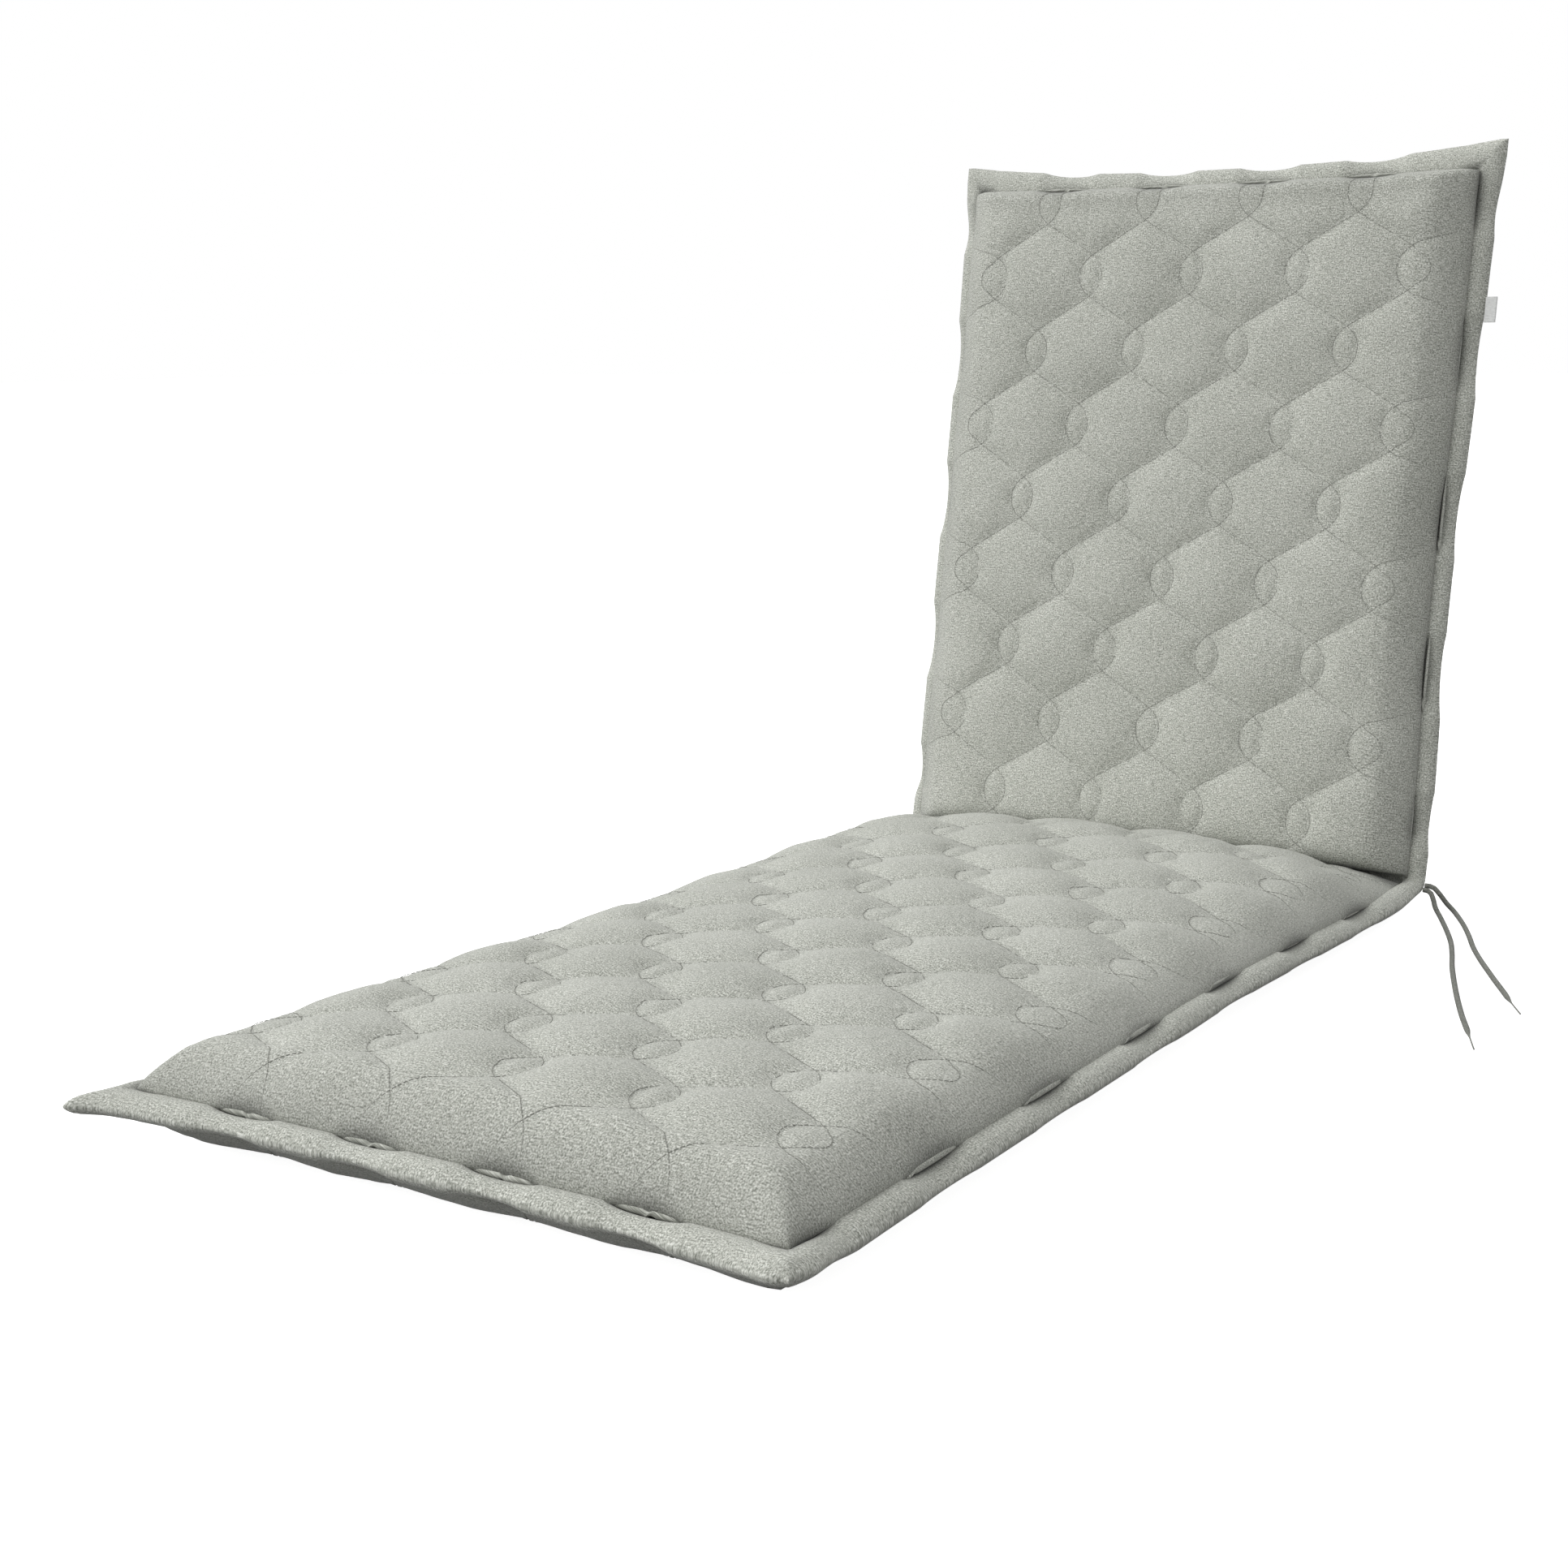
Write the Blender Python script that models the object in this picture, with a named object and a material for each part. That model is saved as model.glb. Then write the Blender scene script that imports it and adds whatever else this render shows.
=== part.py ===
"""A quilted sun lounger cushion, set up as on a lounger with its back section raised.

The long seat section lies on the surface and the back section stands behind it. One cover holds both.
It is quilted through with pointed ring stitches that diagonal lines join into a net of soft pillows,
drawn in at a seam all round, and edged with a padded border. A tie with two free ends leaves the fold,
and a blank loop label is sewn into the border of the back section.

Metres, +Z up. X runs across the cushion, +Y towards its head, and the origin lies under its middle.
"""

import math

import bmesh
import bpy
from mathutils import Vector

# Outline of the whole cushion, measured along the middle layer where the border is sewn.
HALF_WIDTH = 0.300          # middle of the width to the border's outer edge
SEAT_LENGTH = 1.188         # fold to the border's outer edge at the foot
BACK_LENGTH = 0.743         # fold to the border's outer edge at the head
BORDER_WIDTH = 0.027        # seam to outer edge
BORDER_HALF_THICK = 0.0095
SEAM_HALF_THICK = 0.0018
EAR_ACROSS = 0.007          # how far a free corner reaches out sideways
EAR_ALONG = 0.016           # how far a free corner reaches out lengthwise
EAR_REACH = 0.09            # length over which a side edge flares into its corner
EAR_SPREAD = 0.045          # width inside the seam that is drawn along with an ear

# How the cushion lies.
LAYER_HEIGHT = 0.040        # middle layer of the seat above the surface
FOLD_DIP = 0.016            # how much lower the middle layer lies at the fold
DIP_LENGTH = 0.55           # length over which it sinks
RECLINE = math.radians(10.7)
FOLD_RADIUS = 0.014
FOLD_Y = 0.5172             # from the middle of the cushion's depth to the fold

# Filling.
TOP_LIFT = 0.044            # quilting lines above the middle layer, on the upper faces
FOLD_DROP = 0.032           # how much lower the seat's top lies at the fold
DROP_LENGTH = 0.21          # length over which it sinks
REAR_LIFT = 0.040           # the same behind the back section
UNDER_GAP = 0.0045          # quilting lines above the surface, under the seat
PILLOW_CROWN = 0.0085       # pillow above the quilting lines
RING_CROWN = 0.0020         # small boss inside each ring
SIDE_WALL = 0.066           # width over which the filling rises from the side seams
END_WALL = 0.082            # the same at the foot
HEAD_WALL = 0.060
SEAT_FOLD_WALL = 0.050      # the same at the fold, on each section
BACK_FOLD_WALL = 0.030
EDGE_ROUND = 0.030          # width over which the quilting fades out at a seam
WALL_SHARPNESS = 5          # how squarely two walls meet in a corner
FOLD_START = 0.003          # half-width of the bare strip at the fold
SEAT_MITRE = 0.69           # slopes at which the two sections rest on each other
BACK_MITRE = 2.26
MITRE_GAP = 0.0012          # between them there
MITRE_SOFTNESS = 0.004

# Quilting net. Each row of rings stands half a pitch over from the rows beside it.
PITCH = 0.117
SEAT_ROW = 0.0827
BACK_ROW = 0.0810
SEAT_FIRST_ROW = -1.073     # a row of five rings, measured from the fold
BACK_LAST_ROW = 0.055       # a row of four rings, the lowest on the back section
BACK_ROWS = 8               # rows above it
RING_HALF_WIDTH = 0.0155
RING_HALF_HEIGHT = 0.0285
PILLOW_REACH = 0.040        # distance from the lines to a pillow's full height
SNAP = 0.008                # points this near a quilting line are drawn onto it

# Extra lines of points in the mesh.
SEAM_STEP = 0.0105          # inside a side seam
END_STEP = 0.006            # inside the seam at the foot and the head
BORDER_STEPS = (0.008, 0.020)
FOLD_STEPS = (0.018, 0.036)
FOLD_SEAT_STEPS = (0.0535, 0.062)

# Tie and label.
CORD_DIAMETER = 0.005
CORD_SPACING = 0.0125       # between points of a cord's tube
CORD_LIFT = 0.0004          # clear of the surface
TAPER_LENGTH = 0.026        # where an end narrows
TIP_LENGTH = 0.030          # bare thread at its tip
TIP_SHARE = 0.27            # thickness of the thread end against the cord
LABEL_LENGTH = 0.0255       # along the border
LABEL_REACH = 0.0115        # out of the border
LABEL_THICK = 0.0016
LABEL_BACK_POSITION = 0.587  # middle of the label, from the fold
PIECE_GAP = 0.0004

FOLD_ANGLE = math.pi / 2 - RECLINE
FOLD_REACH = FOLD_RADIUS * math.tan(FOLD_ANGLE / 2)
FOLD_Z = LAYER_HEIGHT - FOLD_DIP

# Routes of the two free ends: X, distance in front of the fold, height of the cord's middle.
# A height of None is a cord lying on the surface.
LONG_END_ROUTE = [
    (0.3014, 0.0088, 0.0243),
    (0.3085, 0.0098, 0.0232),
    (0.3140, 0.0160, 0.0178),
    (0.3188, 0.0230, 0.0108),
    (0.3300, 0.0400, 0.0048),
    (0.3472, 0.0771, None),
    (0.3635, 0.1179, None),
    (0.3769, 0.1585, None),
    (0.3889, 0.1982, None),
    (0.4015, 0.2358, None),
    (0.4157, 0.2763, None),
    (0.4298, 0.3148, None),
    (0.4440, 0.3516, None),
    (0.4569, 0.3826, None),
    (0.4669, 0.4072, None),
    (0.4789, 0.4365, None),
]
SHORT_END_ROUTE = [
    (0.3012, 0.0024, 0.0273),
    (0.3095, 0.0030, 0.0268),
    (0.3170, 0.0040, 0.0205),
    (0.3240, 0.0035, 0.0120),
    (0.3340, 0.0085, 0.0052),
    (0.3523, 0.0415, None),
    (0.3702, 0.0826, None),
    (0.3862, 0.1228, None),
    (0.4033, 0.1605, None),
    (0.4210, 0.1962, None),
    (0.4361, 0.2262, None),
    (0.4532, 0.2592, None),
    (0.4704, 0.2930, None),
    (0.4842, 0.3185, None),
]


def smooth(t):
    """Soft step from 0 to 1."""
    t = min(1.0, max(0.0, t))
    return t * t * (3 - 2 * t)


def rounded(t):
    """Quarter ellipse from 0 to 1: steep at first, level at the end."""
    t = min(1.0, max(0.0, t))
    return math.sqrt(t * (2 - t))


def soft_min(a, b, softness):
    """The smaller of two values, with the corner between them rounded off."""
    h = min(1.0, max(0.0, 0.5 + 0.5 * (b - a) / softness))
    return b + (a - b) * h - softness * h * (1 - h)


def layer_height(v):
    """Height of the seat's middle layer at the distance v from the fold, v below 0."""
    return LAYER_HEIGHT - FOLD_DIP * smooth((v + DIP_LENGTH) / (DIP_LENGTH - 0.03))


def layer(v):
    """Point and upward normal of the middle layer, in the YZ plane, at the distance v from the fold."""
    if v <= -FOLD_REACH:
        return Vector((0, FOLD_Y + v, layer_height(v))), Vector((0, 0, 1))
    if v >= FOLD_REACH:
        along = Vector((0, math.sin(RECLINE), math.cos(RECLINE)))
        return Vector((0, FOLD_Y, FOLD_Z)) + v * along, Vector((0, -math.cos(RECLINE), math.sin(RECLINE)))
    turn = FOLD_ANGLE * (v + FOLD_REACH) / (2 * FOLD_REACH)
    centre = Vector((0, FOLD_Y - FOLD_REACH, FOLD_Z + FOLD_RADIUS))
    outward = Vector((0, math.sin(turn), -math.cos(turn)))
    return centre + FOLD_RADIUS * outward, -outward


def half_width(v):
    """Half the width out to the border's edge, flared near the foot and the head."""
    to_end = min(v + SEAT_LENGTH, BACK_LENGTH - v)
    return HALF_WIDTH + EAR_ACROSS * math.exp(-max(0.0, to_end) / EAR_REACH)


def ear_along(u):
    """How far the foot and head edges reach out at the distance u from the middle."""
    return EAR_ALONG * min(1.0, abs(u) / HALF_WIDTH) ** 2.6


def net_cell(u, v):
    """Distances from the nearest ring centre, across and along, and the row spacing there."""
    if v < 0:
        row = (v - SEAT_FIRST_ROW) / SEAT_ROW
        spacing = SEAT_ROW
        shift = 0
    else:
        row = (v - BACK_LAST_ROW) / BACK_ROW
        spacing = BACK_ROW
        shift = 1
    below = math.floor(row)
    across = {}
    for index in (below, below + 1):
        column = u / PITCH - 0.5 * ((index + shift) % 2)
        across[index] = abs(column - round(column)) * PITCH
    up = (row - below) * spacing
    if across[below] / PITCH + up / (2 * spacing) < 0.5:
        return across[below], up, spacing
    return across[below + 1], spacing - up, spacing


def line_height(across, spacing):
    """Where the diagonal quilting line lies, from its ring's centre, at a distance across."""
    rise = (spacing - 2 * RING_HALF_HEIGHT) / (PITCH / 2)
    return RING_HALF_HEIGHT + rise * across


def relief(u, v):
    """Height of the quilting: 0 on the lines, 1 on a pillow, and a little inside a ring."""
    across, along, spacing = net_cell(u, v)
    ring = (across / RING_HALF_WIDTH) ** 2 + (along / RING_HALF_HEIGHT) ** 2
    if ring < 1:
        return RING_CROWN / PILLOW_CROWN * (1 - ring)
    to_ring = (math.sqrt(ring) - 1) * min(RING_HALF_WIDTH * 1.25, RING_HALF_HEIGHT)
    rise = (spacing - 2 * RING_HALF_HEIGHT) / (PITCH / 2)
    to_line = abs(along - line_height(across, spacing)) / math.hypot(1, rise)
    t = min(1.0, min(to_ring, to_line) / PILLOW_REACH)
    return (1 - (1 - t) ** 2) ** 0.85


def inside(u, v):
    """Distances inside the seam, from the side, the outer end and the fold; below 0 on the border."""
    side = half_width(v) - BORDER_WIDTH - abs(u)
    ear = ear_along(u)
    if v < 0:
        return side, v + SEAT_LENGTH + ear - BORDER_WIDTH, -v - FOLD_START
    return side, BACK_LENGTH + ear - BORDER_WIDTH - v, v - FOLD_START


def walls(u, v):
    """Share of the full filling, from 0 at the seams to 1."""
    side, end, fold = inside(u, v)
    end_wall = END_WALL if v < 0 else HEAD_WALL
    fold_wall = SEAT_FOLD_WALL if v < 0 else BACK_FOLD_WALL
    shares = [rounded(side / SIDE_WALL), rounded(end / end_wall), rounded(fold / fold_wall)]
    return max(0.0, 1 - sum((1 - s) ** WALL_SHARPNESS for s in shares) ** (1 / WALL_SHARPNESS))


def quilting(u, v, full):
    """Distance from the middle layer to a filled face whose quilting lines lie at full height."""
    side, end, _ = inside(u, v)
    share = walls(u, v)
    crown = PILLOW_CROWN * relief(u, v) * rounded(min(side, end) / EDGE_ROUND)
    return SEAM_HALF_THICK + (full - SEAM_HALF_THICK + crown) * share


def border_half(u, v):
    """Half the border's thickness: a padded roll, pinched where quilting lines cross it."""
    side, end, _ = inside(u, v)
    out = max(-side, -end) / BORDER_WIDTH
    roll = math.sqrt(max(0.0, 1 - (2 * min(1.0, out) - 1) ** 2)) ** 0.8
    pinch = 0.72 + 0.28 * relief(u, v)
    fold_ease = 0.75 + 0.25 * smooth(abs(v) / 0.04)
    edge_share = 1 - smooth((out - 0.55) / 0.45)
    return SEAM_HALF_THICK * edge_share + (BORDER_HALF_THICK - SEAM_HALF_THICK) * roll * pinch * fold_ease


def upper_lift(u, v):
    """Height of the upper face above the middle layer."""
    side, end, _ = inside(u, v)
    if side <= 0 or end <= 0:
        return border_half(u, v)
    full = TOP_LIFT
    if v < 0:
        full += LAYER_HEIGHT - layer_height(v) - FOLD_DROP * (1 - smooth(-v / DROP_LENGTH))
    mitre = abs(v) * (SEAT_MITRE if v < 0 else BACK_MITRE) - MITRE_GAP
    return max(SEAM_HALF_THICK, soft_min(quilting(u, v, full), mitre, MITRE_SOFTNESS))


def lower_lift(u, v):
    """Depth of the lower or rear face under the middle layer."""
    side, end, _ = inside(u, v)
    if side <= 0 or end <= 0:
        return border_half(u, v)
    return quilting(u, v, layer_height(v) - UNDER_GAP if v < 0 else REAR_LIFT)


def net_columns():
    """Distances across at which the mesh has points: along rings and pillows, then wall, seam and border."""
    inner = [0, RING_HALF_WIDTH, PITCH / 2 - RING_HALF_WIDTH]
    half = [k * PITCH / 2 + c for k in range(4) for c in inner]
    half += [2 * PITCH, 2 * PITCH + RING_HALF_WIDTH]
    seam = HALF_WIDTH - BORDER_WIDTH
    half += [seam - SEAM_STEP, seam] + [seam + step for step in BORDER_STEPS] + [HALF_WIDTH]
    return [-c for c in reversed(half[1:])] + half


def seam_rows(length, sign):
    """Rows of the border and the seam at one end of the cushion."""
    seam = length - BORDER_WIDTH
    rows = [length, seam, seam - END_STEP] + [seam + step for step in BORDER_STEPS]
    return [sign * r for r in rows]


def net_rows():
    """Distances from the fold at which the mesh has points, with a mark for rows of the quilting net."""
    def steps(first, spacing, count):
        parts = (0, RING_HALF_HEIGHT, spacing - RING_HALF_HEIGHT)
        return [first + k * spacing + p for k in range(count) for p in parts]

    seat = steps(SEAT_FIRST_ROW - SEAT_ROW, SEAT_ROW, 13)
    seat.append(SEAT_FIRST_ROW + 12 * SEAT_ROW)
    back = steps(BACK_LAST_ROW, BACK_ROW, BACK_ROWS)
    back.append(BACK_LAST_ROW + BACK_ROWS * BACK_ROW)
    fold = [-FOLD_REACH / 2, 0, FOLD_REACH / 2]
    fold += [sign * step for sign in (-1, 1) for step in FOLD_STEPS]
    fold += [-step for step in FOLD_SEAT_STEPS]
    plain = seam_rows(SEAT_LENGTH, -1) + fold + seam_rows(BACK_LENGTH, 1)
    return sorted([(r, False) for r in plain] + [(r, True) for r in seat + back])


def place(u, v, on_net):
    """A mesh point's distances across and along, drawn onto the quilting lines and into the ears."""
    if on_net and abs(u) < 2 * PITCH + 2 * RING_HALF_WIDTH:
        across, along, spacing = net_cell(u, v)
        off = line_height(across, spacing) - along
        if 0 < abs(off) < SNAP:
            nearer = net_cell(u, v + 0.001)[1] - along
            v += off if nearer > 0 else -off
    spread = smooth((abs(u) - HALF_WIDTH + BORDER_WIDTH) / EAR_SPREAD + 1)
    wide = u + math.copysign((half_width(v) - HALF_WIDTH) * spread, u)
    foot = smooth((-v - SEAT_LENGTH + BORDER_WIDTH) / EAR_SPREAD + 1)
    head = smooth((v - BACK_LENGTH + BORDER_WIDTH) / EAR_SPREAD + 1)
    return wide, v + ear_along(u) * (head - foot)


def halves(i, j, heights, last_column, last_row):
    """The two triangles of a cell: split along its lower diagonal, or through the tip at a corner."""
    a, b, c, d = (i, j), (i + 1, j), (i + 1, j + 1), (i, j + 1)
    along = heights[a] + heights[c] < heights[b] + heights[d]
    left, right = i == 0, i == last_column - 1
    foot, head = j == 0, j == last_row - 1
    if (left or right) and (foot or head):
        along = (left and foot) or (right and head)
    return [(a, b, c), (a, c, d)] if along else [(a, b, d), (b, c, d)]


def make_cushion(material):
    """The whole cushion as one closed solid: an upper and a lower face that share the border's edge."""
    columns = net_columns()
    rows = net_rows()
    last_column, last_row = len(columns) - 1, len(rows) - 1
    mesh = bmesh.new()
    sides = {"upper": {}, "lower": {}}
    heights = {}
    for j, (v0, on_net) in enumerate(rows):
        for i, u0 in enumerate(columns):
            u, v = place(u0, v0, on_net)
            middle, normal = layer(v)
            middle.x = u
            rim = i in (0, last_column) or j in (0, last_row)
            up, down = (0, 0) if rim else (upper_lift(u, v), lower_lift(u, v))
            under = middle - down * normal
            under.z = max(0.0, under.z)
            upper = mesh.verts.new(middle + up * normal)
            sides["upper"][i, j] = upper
            sides["lower"][i, j] = upper if rim else mesh.verts.new(under)
            heights[i, j] = relief(u, v)
    for side, points in sides.items():
        for j in range(last_row):
            for i in range(last_column):
                for triangle in halves(i, j, heights, last_column, last_row):
                    corners = [points[k] for k in triangle]
                    mesh.faces.new(corners if side == "upper" else reversed(corners))
    mesh.normal_update()
    data = bpy.data.meshes.new("cushion")
    mesh.to_mesh(data)
    mesh.free()
    data.shade_smooth()
    data.set_sharp_from_angle(angle=math.radians(50))
    cushion = bpy.data.objects.new("cushion", data)
    data.materials.append(material)
    bpy.context.scene.collection.objects.link(cushion)
    return cushion


def smooth_route(points, spacing):
    """Points at even spacing along a smooth curve through the route's own points."""
    ends = [2 * points[0] - points[1]] + points + [2 * points[-1] - points[-2]]
    fine = []
    for p0, p1, p2, p3 in zip(ends, ends[1:], ends[2:], ends[3:]):
        for k in range(12):
            t = k / 12
            fine.append(0.5 * (2 * p1 + (p2 - p0) * t + (2 * p0 - 5 * p1 + 4 * p2 - p3) * t * t
                               + (3 * p1 - p0 - 3 * p2 + p3) * t ** 3))
    fine.append(points[-1])
    lengths = [(b - a).length for a, b in zip(fine, fine[1:])]
    total = sum(lengths)
    count = max(2, round(total / spacing))
    out, walked, at = [fine[0]], 0.0, 0
    for k in range(1, count):
        goal = total * k / count
        while walked + lengths[at] < goal:
            walked += lengths[at]
            at += 1
        out.append(fine[at].lerp(fine[at + 1], (goal - walked) / lengths[at]))
    return out + [fine[-1]], total


def make_cord(name, route, material):
    """One free end of the tie: a round cord that narrows to a thread at its tip."""
    floor = CORD_DIAMETER / 2 + CORD_LIFT
    points = [Vector((x, FOLD_Y - front, floor if z is None else z)) for x, front, z in route]
    line, total = smooth_route(points, CORD_SPACING)
    curve = bpy.data.curves.new(name, "CURVE")
    curve.dimensions = "3D"
    curve.bevel_depth = CORD_DIAMETER / 2
    curve.bevel_resolution = 2
    curve.use_fill_caps = True
    spline = curve.splines.new("POLY")
    spline.points.add(len(line) - 1)
    walked = 0.0
    for k, point in enumerate(line):
        if k:
            walked += (point - line[k - 1]).length
        spline.points[k].co = (*point, 1)
        left = total - walked
        thin = smooth((left - TIP_LENGTH) / TAPER_LENGTH)
        spline.points[k].radius = TIP_SHARE + (1 - TIP_SHARE) * thin
    curve.materials.append(material)
    cord = bpy.data.objects.new(name, curve)
    bpy.context.scene.collection.objects.link(cord)
    return cord


def make_label(material):
    """The loop label: a short folded tape that stands out of the back section's border."""
    data = bpy.data.meshes.new("side_label")
    mesh = bmesh.new()
    bmesh.ops.create_cube(mesh, size=1)
    bmesh.ops.scale(mesh, vec=(LABEL_REACH, LABEL_THICK, LABEL_LENGTH), verts=mesh.verts)
    long_edges = [e for e in mesh.edges
                  if abs(e.verts[0].co.z - e.verts[1].co.z) > LABEL_LENGTH / 2 and e.verts[0].co.x > 0]
    bmesh.ops.bevel(mesh, geom=long_edges, offset=LABEL_THICK * 0.45, segments=2, affect="EDGES")
    mesh.to_mesh(data)
    mesh.free()
    label = bpy.data.objects.new("side_label", data)
    middle, _ = layer(LABEL_BACK_POSITION)
    label.location = middle
    label.location.x = half_width(LABEL_BACK_POSITION) + PIECE_GAP + LABEL_REACH / 2
    label.rotation_euler.x = -RECLINE
    data.materials.append(material)
    bpy.context.scene.collection.objects.link(label)
    return label


def make_material(name, colour, roughness):
    """A plain cloth finish."""
    material = bpy.data.materials.new(name)
    material.use_nodes = True
    shader = material.node_tree.nodes["Principled BSDF"]
    shader.inputs["Base Color"].default_value = (*colour, 1)
    shader.inputs["Roughness"].default_value = roughness
    shader.inputs["Metallic"].default_value = 0.0
    return material


def main():
    for obj in list(bpy.data.objects):
        bpy.data.objects.remove(obj)
    cloth = make_material("melange_cloth", (0.43, 0.44, 0.40), 0.95)
    cord = make_material("tie_cord", (0.16, 0.165, 0.14), 0.9)
    tape = make_material("label_tape", (0.72, 0.73, 0.72), 0.8)
    make_cushion(cloth)
    make_cord("tie_end_long", LONG_END_ROUTE, cord)
    make_cord("tie_end_short", SHORT_END_ROUTE, cord)
    make_label(tape)


main()
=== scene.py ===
"""Looks of the quilted sun lounger cushion: its sewn cover in two sections, stitching, tie and label.

The cover is worked out on its own cloth coordinates: u runs across the cushion from its middle, and v
runs along it from the fold, below 0 on the seat section and above 0 on the back section.
"""

import math

import bmesh
import bpy
import numpy as np
from mathutils import Matrix, Vector
from mathutils.kdtree import KDTree


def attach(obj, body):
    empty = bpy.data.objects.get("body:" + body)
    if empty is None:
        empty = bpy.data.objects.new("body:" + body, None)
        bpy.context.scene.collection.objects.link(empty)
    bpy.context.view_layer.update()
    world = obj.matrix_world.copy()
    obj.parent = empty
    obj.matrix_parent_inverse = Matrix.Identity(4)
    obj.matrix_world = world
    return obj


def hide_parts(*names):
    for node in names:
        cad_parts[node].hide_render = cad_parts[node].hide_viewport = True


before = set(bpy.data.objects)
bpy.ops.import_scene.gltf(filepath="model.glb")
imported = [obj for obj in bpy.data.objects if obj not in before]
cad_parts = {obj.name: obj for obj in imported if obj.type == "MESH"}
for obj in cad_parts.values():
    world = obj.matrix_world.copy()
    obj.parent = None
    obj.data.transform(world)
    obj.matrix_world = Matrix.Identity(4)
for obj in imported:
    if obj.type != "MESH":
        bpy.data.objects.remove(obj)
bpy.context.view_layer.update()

# Outline, along the middle layer where the border is sewn.
HALF_WIDTH = 0.300
SEAT_LENGTH = 1.184
BACK_LENGTH = 0.743
SIDE_BORDER = 0.022
HEAD_BORDER = 0.022
FOOT_BORDER = 0.027
BORDER_HALF_THICK = 0.0094
BORDER_DROOP = 0.0034
SLIT_DROOP = 0.0028  # how much further it hangs at a slit
DROOP_SHARE = 0.6  # how far out on the border it hangs fully
DROOP_START = 0.01  # distance from the fold at which the droop begins
DROOP_GROWTH = 0.06
BORDER_ROLL = 1.15  # above 1, its roll thins more towards its edges
BORDER_LUMPS = 0.06
BORDER_LUMP_SIZE = 0.05
EDGE_START = 0.55  # where on the border its flat layers begin to end
EDGE_LENGTH = 0.45
FOLD_THICK = 0.75  # how thick the border still is at the fold
FOLD_EASE = 0.04
SEAM_HALF_THICK = 0.0016
EAR_ACROSS = 0.007  # how far a free corner is drawn out, across and along
EAR_ALONG = 0.016
EAR_REACH = 0.09
EAR_SPREAD = 0.045
EAR_CURVE = 2.6
EAR_SHARE = 0.35  # how much of a corner's flare the seam follows

# How the cushion lies.
LAYER_HEIGHT = 0.040
FOLD_DIP = 0.016
DIP_LENGTH = 0.55
DIP_CLEAR = 0.03  # distance from the fold at which the dip is full
RECLINE = math.radians(10.7)
FOLD_RADIUS = 0.014
FOLD_Y = 0.5172
FOLD_ANGLE = math.pi / 2 - RECLINE
FOLD_REACH = FOLD_RADIUS * math.tan(FOLD_ANGLE / 2)
FOLD_Z = LAYER_HEIGHT - FOLD_DIP

# Filling.
TOP_LIFT = 0.0455
FOOT_SAG = 0.0137  # how much lower the filling lies at the side edges than in the middle
FOLD_SAG = 0.0330  # the same where the seat nears the fold
BACK_SAG = 0.0080
SAG_CURVE = 3
GROWTH_START = -1.1  # where the seat's sag and walls begin to grow
SAG_GROWTH = 0.6
WALL_GROWTH = 0.7
FOLD_DROP = 0.032  # how much lower the seat's top lies at the fold
DROP_LENGTH = 0.21
REAR_LIFT = 0.040
UNDER_GAP = 0.0045
FLOOR_SOFTNESS = 0.0015
PILLOW_CROWN = 0.0095
BACK_CROWN = 0.0082
CROWN_START = 0.012  # distance inside a seam at which the crowns begin to grow
CROWN_GROWTH = 0.06
CROWN_LUMPS = 0.10
CROWN_LUMP_SIZE = 0.09
LUMPS = ((0.0007, 0.035, 1), (0.0004, 0.014, 2))  # height, size and seed of small lumps
RING_DOME = 2.2  # how much fuller the small domes in the sewn rings are
SIDE_WALL = 0.034
BACK_WALL_EXTRA = 0.004  # how much wider the back's side walls are
SIDE_WALL_GROWTH = 0.006  # how much wider the seat's side walls are near the fold
END_WALL = 0.036
UNDER_WALL = 0.035  # the end wall's width under the foot, where the filling bulges out
HEAD_WALL = 0.014
WALL_PLACES = (0, 0.13, 0.36, 0.80, 1)  # places up a wall, and its slope there in degrees
WALL_SLOPES = (150, 96, 58, 44, 0)
WALL_STRETCH = 1.6  # length of cloth on a wall against the wall's width
SEAT_FOLD_WALL = 0.050
BACK_FOLD_WALL = 0.030
FOLD_CORNER = 0.010  # how far the seat's fold edge is drawn back at its corners
FOLD_CORNER_REACH = 0.06
EDGE_ROUND = 0.030
WALL_CROWN = 0.25  # how much of the pillows' crown is left at the foot of a wall
WALL_SHARPNESS = 5
FOLD_START = 0.003
SEAT_MITRE = 0.69  # slopes at which the two sections rest on each other
BACK_MITRE = 2.26
MITRE_GAP = 0.0012
MITRE_SOFTNESS = 0.004

# Seam between the filling and the border.
BORDER_LEAN = 0.0012
SLIT_OPEN = 0.0050  # how far wall and border part where a quilting ring meets the seam
SLIT_REACH = 0.0040
SLIT_LIP = 0.0014
SLIT_CURVE = 0.8  # below 1, slits end more bluntly
SLIT_CLEAR = 0.03  # distance from the fold within which there is no slit
SIDE_SLIT = 0.042  # half-length of a slit in a side seam
END_SLIT = 0.033  # the same at the foot and the head
BORDER_PART = 0.5  # the border's share of a slit's opening
LEAN_REACH = 0.003
CLOSING = 0.8  # how far the filling closes down beside a slit
CLOSING_REACH = 0.004
PINCH = 0.34  # how much thinner the border is beside a slit
INNER_PINCH = 0.85  # the same for its inner half
DRAWN_IN = 0.0036  # how far the border's edge is drawn in there
CORNER_EASE = 0.050  # where the border's pinches fade out before a corner
SHIFT_START = 0.004  # where a seam's shifts fade out beyond the other seam
SHIFT_EASE = 0.010

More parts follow.
